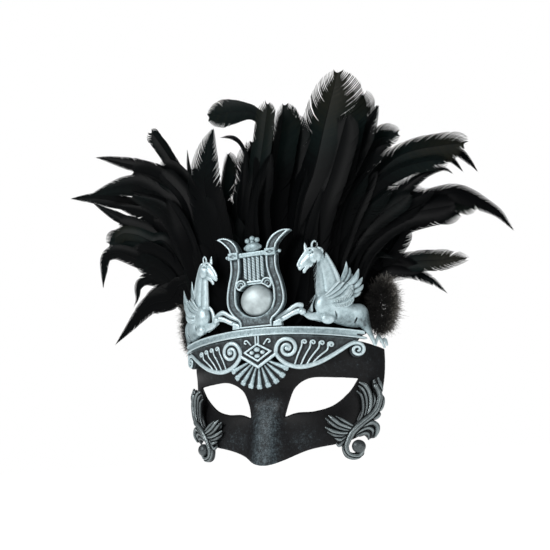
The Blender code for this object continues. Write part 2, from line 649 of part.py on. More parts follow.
def make_feather_band(mats, steps=20):
    """Felt strip that covers the glued quills on the inside."""
    stations = []
    for index in range(steps + 1):
        x = 58.0 * (2.0 * index / steps - 1.0)
        near = LAYERS * LAYER_PITCH - 0.6
        ring = [(near, 28.0), (near + 1.2, 28.0), (near + 1.2, 44.0), (near, 44.0)]
        stations.append([Vector((x, fan_depth(x, z) + depth, z)) * MM for depth, z in ring])
    finish_mesh("feather_band", sweep("feather_band", stations), mats["felt"])


def make_down(mats):
    """Marabou down tufts at both ends of the crest, as plain soft bodies."""
    for side, name, out, wide, tall in ((1, "down_trim_right", 89.0, 12.5, 17.5),
                                        (-1, "down_trim_left", 81.0, 8.5, 15.0)):
        bm = bmesh.new()
        bmesh.ops.create_uvsphere(bm, u_segments=14, v_segments=9, radius=1.0)
        for vert in bm.verts:
            x = out + wide * vert.co.x
            z = 61.0 + tall * (vert.co.z - 0.14 * vert.co.x)
            y = fan_depth(x, z) - 4.6 + 3.0 * vert.co.y
            vert.co = Vector((side * x, y, z)) * MM
        finish_mesh(name, mesh_from(name, bm), mats["down"])


def main():
    for obj in list(bpy.data.objects):
        bpy.data.objects.remove(obj)
    mats = all_materials()
    make_shell(mats)
    make_tie_pads(mats)
    make_bar(mats)
    make_frieze(mats)
    make_diamond(mats)
    make_fan(mats)
    make_lyre(mats)
    make_horses(mats)
    make_acanthus(mats)
    make_feathers(mats)
    make_feather_band(mats)
    make_down(mats)


main()
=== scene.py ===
"""Looks of the venetian masquerade half mask: black shell, cast silver crest, acanthus sprays,
cock feathers and marabou down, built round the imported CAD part.

The row frame is in metres; the dimensions below are in millimetres and are turned into
metres as each mesh is made.  Most pieces follow the plan curve of the brow, so they are laid
out flat as (u, n, z): u is the arc length along the brow from the middle, n the distance
out from it, z the height.  Castings are sculpted as signed-distance fields in that layout.
"""

import math

import bpy
import numpy as np
from mathutils import Matrix, Vector


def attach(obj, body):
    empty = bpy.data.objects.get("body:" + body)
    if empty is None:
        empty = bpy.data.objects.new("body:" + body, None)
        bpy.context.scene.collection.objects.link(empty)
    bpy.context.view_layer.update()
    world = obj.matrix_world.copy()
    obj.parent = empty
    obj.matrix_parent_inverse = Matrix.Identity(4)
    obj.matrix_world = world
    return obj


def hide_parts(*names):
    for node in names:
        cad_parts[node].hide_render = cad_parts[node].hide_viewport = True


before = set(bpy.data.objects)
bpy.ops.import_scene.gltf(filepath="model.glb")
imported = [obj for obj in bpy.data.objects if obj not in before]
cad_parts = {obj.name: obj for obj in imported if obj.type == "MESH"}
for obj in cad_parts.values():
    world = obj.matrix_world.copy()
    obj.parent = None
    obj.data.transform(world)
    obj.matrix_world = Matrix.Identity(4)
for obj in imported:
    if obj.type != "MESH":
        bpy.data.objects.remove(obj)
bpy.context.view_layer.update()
MM = 0.001

# --- camera, light and floor --------------------------------------------------------------

CAMERA_AZIMUTH = 27.1
CAMERA_ELEVATION = -8.2
CAMERA_ROLL = 3.2
CAMERA_TARGET = (16.6, -12.0, 87.1)
CAMERA_DISTANCE = 577.6
CAMERA_LENS = 54.05
SENSOR = 36.0
FLOOR_Z = -330.0
FLOOR_RADIUS = 4000.0


def make_camera():
    """Camera from azimuth, elevation and roll round its target, as fitted to the pictured view."""
    a, e, r = (math.radians(value) for value in (CAMERA_AZIMUTH, CAMERA_ELEVATION, CAMERA_ROLL))
    back = Vector((math.sin(a) * math.cos(e), -math.cos(a) * math.cos(e), math.sin(e)))
    right0 = Vector((math.cos(a), math.sin(a), 0.0))
    up0 = Vector((-math.sin(a) * math.sin(e), math.cos(a) * math.sin(e), math.cos(e)))
    right = right0 * math.cos(r) - up0 * math.sin(r)
    up = right0 * math.sin(r) + up0 * math.cos(r)
    data = bpy.data.cameras.new("camera")
    data.lens = CAMERA_LENS
    data.sensor_width = SENSOR
    data.clip_start = 0.01
    data.clip_end = 20.0
    camera = bpy.data.objects.new("camera", data)
    bpy.context.scene.collection.objects.link(camera)
    place = (Vector(CAMERA_TARGET) + back * CAMERA_DISTANCE) * MM
    camera.matrix_world = Matrix((
        (right.x, up.x, back.x, place.x), (right.y, up.y, back.y, place.y),
        (right.z, up.z, back.z, place.z), (0.0, 0.0, 0.0, 1.0)))
    bpy.context.scene.camera = camera


def add_light(name, place, target, size, power):
    data = bpy.data.lights.new(name, "AREA")
    data.shape = "DISK"
    data.size = size * MM
    data.energy = power
    light = bpy.data.objects.new(name, data)
    bpy.context.scene.collection.objects.link(light)
    light.location = Vector(place) * MM
    light.rotation_euler = (Vector(target) - Vector(place)).to_track_quat("-Z", "Y").to_euler()


def make_world():
    """Pure white to the camera, a dim cool light to everything else."""
    scene = bpy.context.scene
    scene.view_settings.view_transform = "Standard"
    world = bpy.data.worlds.new("studio")
    world.use_nodes = True
    tree = world.node_tree
    seen = tree.nodes["Background"]
    seen.inputs["Color"].default_value = (1.0, 1.0, 1.0, 1.0)
    seen.inputs["Strength"].default_value = 1.0
    lit = tree.nodes.new("ShaderNodeBackground")
    lit.inputs["Color"].default_value = (0.93, 0.97, 1.0, 1.0)
    lit.inputs["Strength"].default_value = 0.2
    path = tree.nodes.new("ShaderNodeLightPath")
    mix = tree.nodes.new("ShaderNodeMixShader")
    tree.links.new(path.outputs["Is Camera Ray"], mix.inputs["Fac"])
    tree.links.new(lit.outputs[0], mix.inputs[1])
    tree.links.new(seen.outputs[0], mix.inputs[2])
    tree.links.new(mix.outputs[0], tree.nodes["World Output"].inputs["Surface"])
    scene.world = world


def make_lights():
    target = (0.0, 0.0, 70.0)
    add_light("key", (-520.0, -900.0, 560.0), target, 420.0, 8.5)
    add_light("fill", (820.0, -620.0, 160.0), target, 600.0, 2.6)
    add_light("back", (300.0, 900.0, 700.0), target, 600.0, 4.0)


def make_floor():
    """A wide pale disc, self-lit so that it stays as plain as the background."""
    mesh = bpy.data.meshes.new("floor")
    corners = [(math.cos(math.radians(a)) * FLOOR_RADIUS * MM, math.sin(math.radians(a)) * FLOOR_RADIUS * MM,
                FLOOR_Z * MM) for a in range(0, 360, 6)]
    mesh.from_pydata(corners, [], [list(range(len(corners)))])
    floor = bpy.data.objects.new("floor", mesh)
    bpy.context.scene.collection.objects.link(floor)
    pale = bpy.data.materials.new("pale_floor")
    pale.use_nodes = True
    shader = pale.node_tree.nodes["Principled BSDF"]
    shader.inputs["Base Color"].default_value = (0.5, 0.5, 0.5, 1.0)
    shader.inputs["Roughness"].default_value = 0.9
    shader.inputs["Specular IOR Level"].default_value = 0.0
    shader.inputs["Emission Color"].default_value = (1.0, 1.0, 1.0, 1.0)
    shader.inputs["Emission Strength"].default_value = 0.97
    mesh.materials.append(pale)


# --- materials ----------------------------------------------------------------------------


class Nodes:
    """Small helper that builds a shader tree."""

    def __init__(self, name):
        self.material = bpy.data.materials.new(name)
        self.material.use_nodes = True
        self.tree = self.material.node_tree
        self.shader = self.tree.nodes["Principled BSDF"]
        self.place = self.tree.nodes.new("ShaderNodeTexCoord").outputs["Object"]

    def link(self, output, target):
        self.tree.links.new(output, target)

    def set(self, **values):
        for name, value in values.items():
            socket = self.shader.inputs[name.replace("_", " ")]
            socket.default_value = (*value, 1.0) if isinstance(value, tuple) else value

    def noise(self, scale, detail=3.0, roughness=0.55):
        node = self.tree.nodes.new("ShaderNodeTexNoise")
        for key, value in (("Scale", scale), ("Detail", detail), ("Roughness", roughness)):
            node.inputs[key].default_value = value
        self.link(self.place, node.inputs["Vector"])
        return node.outputs["Fac"]

    def attribute(self, name):
        node = self.tree.nodes.new("ShaderNodeAttribute")
        node.attribute_name = name
        return node.outputs["Fac"]

    def math(self, operation, a, b=0.0):
        node = self.tree.nodes.new("ShaderNodeMath")
        node.operation = operation
        for socket, value in zip(node.inputs, (a, b)):
            if isinstance(value, (int, float)):
                socket.default_value = value
            else:
                self.link(value, socket)
        return node.outputs[0]

    def colour(self, value, stops):
        """Base colour from a value through (position, colour) stops."""
        node = self.tree.nodes.new("ShaderNodeValToRGB")
        ramp = node.color_ramp
        while len(ramp.elements) < len(stops):
            ramp.elements.new(1.0)
        for element, (position, shade) in zip(ramp.elements, stops):
            element.position = position
            element.color = (*shade, 1.0)
        self.link(value, node.inputs["Fac"])
        self.link(node.outputs["Color"], self.shader.inputs["Base Color"])

    def bump(self, height, distance, strength=1.0):
        node = self.tree.nodes.new("ShaderNodeBump")
        node.inputs["Distance"].default_value = distance
        node.inputs["Strength"].default_value = strength
        self.link(height, node.inputs["Height"])
        self.link(node.outputs[0], self.shader.inputs["Normal"])


def cast_metal(name, stops, wear_noise, roughness, metallic):
    """Painted casting: dark patina in the recesses, rubbed metal on the raised forms."""
    nodes = Nodes(name)
    coarse = nodes.noise(420.0, 4.0, 0.7)
    fine = nodes.noise(1700.0, 2.0, 0.6)
    worn = nodes.attribute("wear")
    grain = nodes.math("ADD", nodes.math("MULTIPLY", coarse, 0.65), nodes.math("MULTIPLY", fine, 0.35))
    grain = nodes.math("MULTIPLY", nodes.math("SUBTRACT", grain, 0.5), wear_noise)
    nodes.colour(nodes.math("ADD", worn, grain), stops)
    polish = nodes.math("MULTIPLY", worn, 0.22)
    nodes.link(nodes.math("SUBTRACT", roughness + 0.22, polish), nodes.shader.inputs["Roughness"])
    nodes.set(Metallic=metallic)
    nodes.bump(nodes.math("ADD", coarse, fine), 0.00022, 0.55)
    return nodes.material


def antique_silver():
    return cast_metal("antique_silver", [
        (0.12, (0.012, 0.015, 0.017)), (0.36, (0.06, 0.077, 0.084)), (0.56, (0.22, 0.29, 0.31)),
        (0.8, (0.4, 0.51, 0.54)), (1.0, (0.55, 0.66, 0.69))], 1.1, 0.38, 0.45)


def dark_pewter():
    return cast_metal("dark_pewter", [
        (0.2, (0.008, 0.009, 0.01)), (0.5, (0.03, 0.035, 0.037)), (0.75, (0.085, 0.1, 0.104)),
        (1.0, (0.2, 0.235, 0.24))], 0.55, 0.32, 0.6)


def pearly_dome():
    nodes = Nodes("pearly_dome")
    nodes.colour(nodes.noise(160.0), [
        (0.3, (0.32, 0.37, 0.38)), (0.6, (0.48, 0.55, 0.56)), (0.8, (0.56, 0.63, 0.64))])
    nodes.set(Metallic=0.6, Roughness=0.52)
    nodes.bump(nodes.noise(700.0), 0.00008, 0.5)
    return nodes.material


def rubbed_black():
    """Black paint, rubbed to a speckled blue-grey on the raised parts of the shell."""
    nodes = Nodes("rubbed_black")
    speck = nodes.math("ADD", nodes.math("MULTIPLY", nodes.noise(1500.0, 3.0, 0.7), 0.6),
                       nodes.math("MULTIPLY", nodes.noise(380.0, 3.0, 0.6), 0.4))
    level = nodes.math("ADD", speck, nodes.math("MULTIPLY", nodes.attribute("wear"), 0.3))
    nodes.colour(level, [
        (0.5, (0.003, 0.003, 0.0034)), (0.66, (0.006, 0.0066, 0.0078)), (0.77, (0.028, 0.037, 0.042)),
        (0.9, (0.1, 0.13, 0.145))])
    nodes.set(Roughness=0.47, Specular_IOR_Level=0.15)
    nodes.bump(nodes.noise(900.0, 4.0, 0.6), 0.0001, 0.6)
    return nodes.material


def cock_feather():
    """Black, with light painted in: higher tones give a painted green and olive sheen, the highest the paler
    tips where light shines through the barbs.
    """
    nodes = Nodes("cock_feather")
    streak = nodes.math("SUBTRACT", nodes.noise(300.0, 3.0, 0.6), 0.5)
    tone = nodes.math("ADD", nodes.attribute("tone"), nodes.math("MULTIPLY", streak, 0.12))
    # Painted light: the green and olive stops paint the feathers' sheen, the top stop the light through the
    # barb tips; the lowest stops are their own black.
    nodes.colour(tone, [
        (0.0, (0.001, 0.0011, 0.0014)), (0.3, (0.0014, 0.0018, 0.002)), (0.5, (0.003, 0.006, 0.0058)),
        (0.68, (0.009, 0.0098, 0.007)), (1.0, (0.04, 0.038, 0.031))])
    nodes.set(Roughness=0.4, Specular_IOR_Level=0.034, Sheen_Weight=0.004, Sheen_Roughness=0.4,
              Sheen_Tint=(0.5, 0.75, 0.75))
    return nodes.material


def marabou_down():
    nodes = Nodes("marabou_down")
    nodes.colour(nodes.attribute("tone"), [
        (0.0, (0.008, 0.008, 0.008)), (0.45, (0.03, 0.028, 0.025)), (0.8, (0.16, 0.15, 0.135)),
        (1.0, (0.42, 0.4, 0.37))])
    nodes.set(Roughness=0.8, Specular_IOR_Level=0.1)
    return nodes.material


def black_felt():
    nodes = Nodes("black_felt")
    nodes.colour(nodes.noise(900.0, 5.0, 0.7), [(0.35, (0.006, 0.006, 0.0065)), (0.7, (0.022, 0.022, 0.024))])
    nodes.set(Roughness=0.95, Specular_IOR_Level=0.1)
    nodes.bump(nodes.noise(1600.0, 4.0, 0.7), 0.0003, 0.8)
    return nodes.material


LOOKS = {"silver": antique_silver(), "pewter": dark_pewter(), "dome": pearly_dome(), "shell": rubbed_black(),
         "feather": cock_feather(), "down": marabou_down(), "felt": black_felt()}

# --- the brow curve -----------------------------------------------------------------------

BROW_HALF_WIDTH = 80.0    # plan curve: superellipse half width, depth, power, foremost y
BROW_DEPTH = 50.0
BROW_POWER = 2.2
BROW_Y = -5.0


def brow_table(steps=6000):
    """Arc length, x, y and unit tangent along the plan curve."""
    x = np.linspace(0.0, BROW_HALF_WIDTH * 0.9995, steps)
    y = BROW_Y + BROW_DEPTH * (1.0 - (1.0 - (x / BROW_HALF_WIDTH) ** BROW_POWER) ** (1.0 / BROW_POWER))
    u = np.concatenate([[0.0], np.cumsum(np.hypot(np.diff(x), np.diff(y)))])
    tx, ty = np.gradient(x, u), np.gradient(y, u)
    length = np.hypot(tx, ty)
    return u, x, y, tx / length, ty / length


BROW_U, BROW_X, BROW_YS, BROW_TX, BROW_TY = brow_table()


def on_brow(points):
    """World points in metres of flat layout points (u, n, z)."""
    u, n, z = np.asarray(points, float).T
    side, reach = np.where(u < 0.0, -1.0, 1.0), np.abs(u)
    x, y, tx, ty = (np.interp(reach, BROW_U, column) for column in (BROW_X, BROW_YS, BROW_TX, BROW_TY))
    return np.stack([side * (x + n * ty), y - n * tx, z], 1) * MM


def smooth_step(value, low, high):
    """0 up to low, 1 from high, and a smooth rise between."""
    t = np.clip((np.asarray(value, float) - low) / (high - low), 0.0, 1.0)
    return t * t * (3.0 - 2.0 * t)


def bell(value, centre, width):
    return np.exp(-((value - centre) / width) ** 2)


# --- meshes -------------------------------------------------------------------------------


def add_piece(name, points, quads, look, replaced, attributes=None):
    """A smooth mesh from points in metres and quads, in place of the CAD nodes in replaced."""
    mesh = bpy.data.meshes.new(name)
    mesh.vertices.add(len(points))
    mesh.vertices.foreach_set("co", np.ascontiguousarray(points, np.float32).ravel())
    mesh.loops.add(quads.size)
    mesh.loops.foreach_set("vertex_index", np.ascontiguousarray(quads, np.int32).ravel())
    mesh.polygons.add(len(quads))
    mesh.polygons.foreach_set("loop_start", np.arange(0, quads.size, quads.shape[1], dtype=np.int32))
    mesh.update(calc_edges=True)
    for key, values in (attributes or {}).items():
        layer = mesh.attributes.new(key, "FLOAT", "POINT")
        layer.data.foreach_set("value", np.ascontiguousarray(values, np.float32))
    mesh.materials.append(LOOKS[look])
    mesh.shade_smooth()
    obj = bpy.data.objects.new(name, mesh)
    bpy.context.scene.collection.objects.link(obj)
    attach(obj, "root")
    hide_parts(*replaced)


def flipped(points):
    """The same points for the other side of the mask."""
    return points * np.array([-1.0, 1.0, 1.0])


def smooth_path(points, step):
    """Catmull-Rom curve through the rows, about step apart in the plane of the first columns."""
    rows = np.array(points, float)
    if len(rows) < 2:
        return rows
    padded = np.vstack([2 * rows[0] - rows[1], rows, 2 * rows[-1] - rows[-2]])
    out = []
    for a, b, c, d in zip(padded, padded[1:], padded[2:], padded[3:]):
        count = max(1, int(math.ceil(np.linalg.norm((c - b)[:3]) / step)))
        t = (np.arange(count) / count)[:, None]
        out.append(0.5 * (2 * b + (c - a) * t + (2 * a - 5 * b + 4 * c - d) * t ** 2
                          + (3 * b - a - 3 * c + d) * t ** 3))
    out.append(rows[-1:])
    return np.vstack(out)


# --- clay: castings as signed-distance fields ---------------------------------------------

FAR = 6.0
BLUR_RANGE = 1.5          # how far either side of the surface the wear looks


def soft_min(a, b, blend):
    """The smaller of two distances, with the corner between them rounded over blend."""
    if blend <= 0.0:
        return np.minimum(a, b)
    h = np.maximum(blend - np.abs(a - b), 0.0) / blend
    return np.minimum(a, b) - h * h * (blend * 0.25)


def polygon_distance(u, z, outline):
    """Signed distance in the plane to a closed outline, negative inside."""
    points = np.array(outline, np.float32)
    best = np.full(np.broadcast_shapes(u.shape, z.shape), 1e9, np.float32)
    inside = np.zeros(best.shape, bool)
    for (au, az), (bu, bz) in zip(points, np.roll(points, -1, axis=0)):
        eu, ez = bu - au, bz - az
        t = np.clip(((u - au) * eu + (z - az) * ez) / (eu * eu + ez * ez + 1e-9), 0.0, 1.0)
        best = np.minimum(best, (u - au - t * eu) ** 2 + (z - az - t * ez) ** 2)
        crosses = ((az > z) != (bz > z)) & (u < eu * (z - az) / (ez if abs(ez) > 1e-9 else 1e-9) + au)
        inside ^= crosses
    return np.where(inside, -1.0, 1.0) * np.sqrt(best)


class Clay:
    """A signed-distance grid in the flat layout (u, n, z); strokes are rows (u, z, radius[, n])."""

    def __init__(self, low, high, cell, depth=6.0, flat=0.6):
        self.low, self.cell, self.depth, self.flat = np.array(low, float), cell, depth, flat
        shape = [int(math.ceil((b - a) / cell)) + 1 for a, b in zip(low, high)]
        self.field = np.full(shape, FAR, np.float32)
        self.axes = [(a + cell * np.arange(size)).astype(np.float32) for a, size in zip(low, shape)]

    def window(self, low, high):
        cuts = []
        for a, b, start, size in zip(low, high, self.low, self.field.shape):
            first = min(max(0, int((a - start) / self.cell)), size)
            cuts.append(slice(first, max(first, min(size, int((b - start) / self.cell) + 2))))
        return tuple(cuts)

    def grid(self, cuts):
        u, n, z = (axis[cut] for axis, cut in zip(self.axes, cuts))
        return u[:, None, None], n[None, :, None], z[None, None, :]

    def plane(self):
        return self.axes[0][:, None], self.axes[2][None, :]

    def merge(self, cuts, shape, blend, carve):
        old = self.field[cuts]
        self.field[cuts] = -soft_min(-old, shape, blend) if carve else soft_min(old, shape, blend)

    def rows(self, points, depth=None):
        """Rows (u, n, z, radius) from rows (u, z, radius[, n])."""
        base = self.depth if depth is None else depth
        return [(p[0], p[3] if len(p) > 3 else base, p[1], p[2]) for p in points]

    def stroke(self, points, blend=0.8, depth=None, flat=None, carve=False, step=0.9):
        flat = flat or self.flat
        path = smooth_path(self.rows(points, depth), step)
        if len(path) == 1:
            path = np.vstack([path, path + [1e-3, 0, 0, 0]])
        margin = max(blend, BLUR_RANGE) + self.cell
        reach = path[:, 3].max() + margin
        cuts = self.window(path[:, :3].min(0) - reach, path[:, :3].max(0) + reach)
        shape = np.full([cut.stop - cut.start for cut in cuts], FAR, np.float32)
        if not shape.size:
            return
        for a, b in zip(path, path[1:]):
            reach = max(a[3], b[3]) + margin
            part = self.window(np.minimum(a[:3], b[:3]) - reach, np.maximum(a[:3], b[:3]) + reach)
            u, n, z = self.grid(part)
            eu, en, ez = b[0] - a[0], (b[1] - a[1]) / flat, b[2] - a[2]
            pu, pn, pz = u - a[0], n / flat - a[1] / flat, z - a[2]
            t = np.clip((pu * eu + pn * en + pz * ez) / (eu * eu + en * en + ez * ez + 1e-9), 0.0, 1.0)
            away = np.sqrt((pu - t * eu) ** 2 + (pn - t * en) ** 2 + (pz - t * ez) ** 2)
            away -= a[3] + (b[3] - a[3]) * t
            inner = tuple(slice(p.start - c.start, p.stop - c.start) for p, c in zip(part, cuts))
            shape[inner] = np.minimum(shape[inner], away)
        self.merge(cuts, shape, blend, carve)

    def outlined(self, points, groove=0.45, lift=0.0, blend=0.15, depth=None, flat=None, sink=0.7):
        """A stroke with a groove cut round it, so that it stands clear of what lies under it."""
        base = self.depth if depth is None else depth
        wider = [(p[0], p[1], p[2] + groove, (p[3] if len(p) > 3 else base) + sink) for p in points]
        self.stroke(wider, 0.1, depth, flat, carve=True)
        raised = [(p[0], p[1], p[2], (p[3] if len(p) > 3 else base) + lift) for p in points]
        self.stroke(raised, blend, depth, flat)

    def blob(self, centre, radii, blend=0.8, carve=False):
        """Ellipsoid; centre and radii are (u, n, z)."""
        reach = np.array(radii) + max(blend, BLUR_RANGE) + self.cell
        cuts = self.window(np.array(centre) - reach, np.array(centre) + reach)
        u, n, z = self.grid(cuts)
        size = min(radii)
        away = np.sqrt(((u - centre[0]) / radii[0]) ** 2 + ((n - centre[1]) / radii[1]) ** 2
                       + ((z - centre[2]) / radii[2]) ** 2)
        self.merge(cuts, ((away - 1.0) * size).astype(np.float32), blend, carve)

    def plate(self, flat_distance, back, front, blend=0.0, carve=False):
        """A slab with the plan flat_distance(u, z) between n = back and n = front (a number or map)."""
        cuts = tuple(slice(0, size) for size in self.field.shape)
        _, n, _ = self.grid(cuts)
        top = front[:, None, :] if isinstance(front, np.ndarray) else front
        shape = -soft_min(-np.broadcast_to(flat_distance[:, None, :], self.field.shape),
                          -np.maximum(n - top, back - n), 0.5)
        self.merge(cuts, shape.astype(np.float32), blend, carve)

    def limit_back(self, back):
        """Cut everything behind n = back away, for a flat glued face."""
        n = self.axes[1][None, :, None]
        self.field = -soft_min(-self.field, -(back - n), 0.4).astype(np.float32)

    def blurred(self, radius):
        """The field near the surface, averaged over a box twice."""
        near = np.clip(self.field, -BLUR_RANGE, BLUR_RANGE).astype(np.float32)
        reach = max(1, int(round(radius / self.cell)))
        for _ in range(2):
            for axis in range(3):
                pad = [(0, 0)] * 3
                pad[axis] = (reach + 1, reach)
                total = np.cumsum(np.pad(near, pad, mode="edge"), axis=axis, dtype=np.float64)
                size = near.shape[axis]
                high = np.take(total, np.arange(2 * reach + 1, 2 * reach + 1 + size), axis=axis)
                low = np.take(total, np.arange(0, size), axis=axis)
                near = ((high - low) / (2 * reach + 1)).astype(np.float32)
        return near

    def sample(self, values, spots):
        """Trilinear reading of a grid at fractional grid coordinates."""
        base = np.clip(np.floor(spots).astype(int), 0, np.array(values.shape) - 2)
        part = spots - base
        out = np.zeros(len(spots))
        for i in (0, 1):
            for j in (0, 1):
                for k in (0, 1):
                    weight = (np.where(i, part[:, 0], 1 - part[:, 0]) * np.where(j, part[:, 1],
                                                                                 1 - part[:, 1])
                              * np.where(k, part[:, 2], 1 - part[:, 2]))
                    out += weight * values[base[:, 0] + i, base[:, 1] + j, base[:, 2] + k]
        return out

    def surface(self):
        """Surface nets: grid-coordinate vertices and quads."""
        field = self.field
        inside = field < 0.0
        views = [inside[i:field.shape[0] - 1 + i, j:field.shape[1] - 1 + j, k:field.shape[2] - 1 + k]
                 for i in (0, 1) for j in (0, 1) for k in (0, 1)]
        active = np.logical_or.reduce(views) & ~np.logical_and.reduce(views)
        cells = np.argwhere(active)
        number = np.full(active.shape, -1, np.int64)
        number[active] = np.arange(len(cells))
        total, count = np.zeros((len(cells), 3)), np.zeros(len(cells))
        corners = [(i, j, k) for i in (0, 1) for j in (0, 1) for k in (0, 1)]
        values = {c: field[cells[:, 0] + c[0], cells[:, 1] + c[1], cells[:, 2] + c[2]].astype(float)
                  for c in corners}
        for a in corners:
            for axis in range(3):
                if a[axis]:
                    continue
                b = tuple(1 if i == axis else a[i] for i in range(3))
                crosses = (values[a] < 0.0) != (values[b] < 0.0)
                gap = np.where(crosses, values[a] - values[b], 1.0)
                spot = np.tile(np.array(a, float), (len(cells), 1))
                spot[:, axis] += values[a] / gap
                total[crosses] += spot[crosses]
                count[crosses] += 1.0
        spots = cells + total / count[:, None]
        quads = []
        for axis in range(3):
            one, two = [i for i in range(3) if i != axis]
            low = [slice(1, -1)] * 3
            low[axis] = slice(0, -1)
            high = list(low)
            high[axis] = slice(1, None)
            a, b = inside[tuple(low)], inside[tuple(high)]
            at = np.argwhere(a != b) + np.array([0 if i == axis else 1 for i in range(3)])
            outward = a[a != b]
            step1, step2 = np.eye(3, dtype=int)[one], np.eye(3, dtype=int)[two]
            ring = [number[tuple((at - d).T)] for d in (0 * step1, step1, step1 + step2, step2)]
            quad = np.stack(ring, 1)
            turn = outward if axis == 1 else ~outward
            quad[turn] = quad[turn][:, ::-1]
            quads.append(quad)
        return spots, np.vstack(quads)

    def cast(self, nodes, look, base=0.5, gain=1.0, ground=None, radius=0.7, extra=None, twin_shift=0.0,
             offset=(0.0, 0.0, 0.0), name=None):
        """Turn the clay into the piece that replaces a node. A second node gets the mirrored twin, moved
        twin_shift towards the middle. Wear is base, plus gain times how far the surface stands out of
        its surroundings, plus the share in ground = (low n, high n, share)."""
        spots, quads = self.surface()
        flat = spots * self.cell + self.low
        wear = base + gain * self.sample(self.blurred(radius), spots)
        if ground is not None:
            low, high, share = ground
            wear += share * (smooth_step(flat[:, 1], low, high) - 0.5)
        if extra is not None:
            wear = extra(flat, wear)
        painted = {"wear": np.clip(wear, 0.0, 1.0)}
        flat = flat + np.array(offset)
        add_piece((name or nodes[0]) + "_cast", on_brow(flat), quads, look, nodes[:1], painted)
        for twin in nodes[1:]:
            points = flipped(on_brow(flat - np.array([twin_shift, 0.0, 0.0])))
            add_piece(twin + "_cast", points, quads[:, ::-1], look, (twin,), painted)


# --- crest: bar, frieze, lozenge, fan -----------------------------------------------------

BAR_TOP = 51.2
BAR_DROP = 7.0
BAR_REACH = 71.0
BAR_HEIGHT = 5.4
CREST_BACK = 3.4


def bar_top(u):
    """Height of the bar's upper edge, which sinks towards the temples."""
    return BAR_TOP - BAR_DROP * (u / BAR_REACH) ** 2


def make_bar():
    """The ledge: a plain band with softened edges and forked ends."""
    clay = Clay((-75, 2.6, 33), (75, 10, 53), 0.42)
    u, z = clay.plane()
    top = bar_top(u)
    band = np.maximum(np.maximum(z - top, top - BAR_HEIGHT - z),
                      np.abs(u) - BAR_REACH - 1.6 * (top - z) / BAR_HEIGHT)
    notch = np.maximum(np.abs(z - top + 3.1) - 0.55 - 0.1 * (np.abs(u) - 68.0), 66.5 - np.abs(u))
    band = np.maximum(band, -notch)
    middle = (z - (top - BAR_HEIGHT / 2)) / (BAR_HEIGHT / 2)
    front = 8.6 + 0.5 * smooth_step(np.abs(middle), 0.55, 0.8)
    clay.plate(band.astype(np.float32), CREST_BACK, front.astype(np.float32))
    clay.cast(("crest_bar",), "silver", base=0.62, gain=1.0)


def scroll(centre, start, end, angle, turns, r0, r1, steps=26, power=1.0):
    """Rows (u, z, radius) of a stroke that winds inwards; angle in degrees."""
    rows = []
    for index in range(steps + 1):
        t = index / steps
        a = math.radians(angle + 360.0 * turns * t)
        reach = start + (end - start) * t ** power
        rows.append((centre[0] + reach * math.cos(a), centre[1] + reach * math.sin(a), r0 + (r1 - r0) * t))
    return rows


PANEL_OFFSET = (0.0, 2.0, -1.3)    # the reliefs below the bar are set forward and down by this
PANEL_BACK = CREST_BACK - PANEL_OFFSET[1]
VOLUTE_CENTRE = (21.6, 36.8)       # the big volute beside the lozenge
END_VOLUTE_CENTRE = (66.2, 33.0)
FLUTES_EACH_SIDE = 4
FLUTE_ANGLE = 18.5                 # degrees from one flute to the next


def make_frieze():
    """Right scroll panel and its mirror: rim that winds into a volute, hooked ribs, end volute."""
    clay = Clay((10.5, 0.6, 19), (73, 9.4, 49), 0.3, depth=5.6, flat=0.9)
    u, z = clay.plane()
    rim = [(66.4, 37.6), (62.5, 37.2), (57, 34.0), (50, 29.8), (43, 26.3), (36, 24.2), (30, 23.6),
           (24.5, 24.6), (19.6, 27.0), (15.6, 30.6), (13.6, 34.2)]
    low = [(a, b - 0.2) for a, b in rim[:-1]]
    high = [(a, bar_top(a) - BAR_HEIGHT + 0.9) for a in (12.6, 25, 36, 47, 56, 63, 67)]
    outline = high + [(66.5, 38.2)] + low[1:] + [(13.2, 32.0)]
    ground = polygon_distance(u, z, outline)
    clay.plate(ground, PANEL_BACK, 5.3)
    band = [(a, b, 1.25 + 0.35 * math.sin(math.pi * i / 12.0)) for i, (a, b) in enumerate(rim)]
    winding = scroll(VOLUTE_CENTRE, 7.9, 1.4, 180, -1.62, 1.5, 1.1, 34, 0.85)
    clay.stroke(band + winding, 0.3)
    clay.blob((VOLUTE_CENTRE[0], 5.8, VOLUTE_CENTRE[1]), (1.7, 2.0, 1.7), 0.3)
    for index in range(4):
        hook = 33.4 + 5.55 * index
        top = 42.0 - 0.62 * index - 0.09 * index ** 2
        foot = 26.0 + 3.9 * index
        foot_z = float(np.interp(foot, [24.5, 30, 36, 43], [25.2, 24.2, 24.8, 27.0]))
        size = 1.75 + 0.25 * (index == 3)
        curl = scroll((hook, top - size), size, 0.45, 165, -1.0 - 0.28 * (index == 3), 0.6, 0.55, 16)
        neck = (hook - size - 0.4, top - 2.6 * size)
        path = [(foot + (neck[0] - foot) * t ** 1.15, foot_z + (neck[1] - foot_z) * t, 0.58)
                for t in (0.0, 0.33, 0.66, 1.0)]
        clay.stroke(path + curl, 0.2, depth=5.9, flat=1.0)
    end = scroll(END_VOLUTE_CENTRE, 4.7, 1.0, 96, -1.45, 1.25, 0.95, 26, 0.9)
    disc = np.sqrt((u - END_VOLUTE_CENTRE[0]) ** 2 + ((z - END_VOLUTE_CENTRE[1]) / 1.12) ** 2) - 4.6
    clay.plate(disc.astype(np.float32), PANEL_BACK, 4.7)
    clay.stroke([(62.5, 37.2, 1.3), (64.4, 38.0, 1.3)] + end, 0.3, depth=5.5)
    clay.cast(("frieze_panel_right", "frieze_panel_left"), "silver",
              base=0.47, gain=1.0, ground=(5.0, 6.6, 0.7), radius=0.6, offset=PANEL_OFFSET)


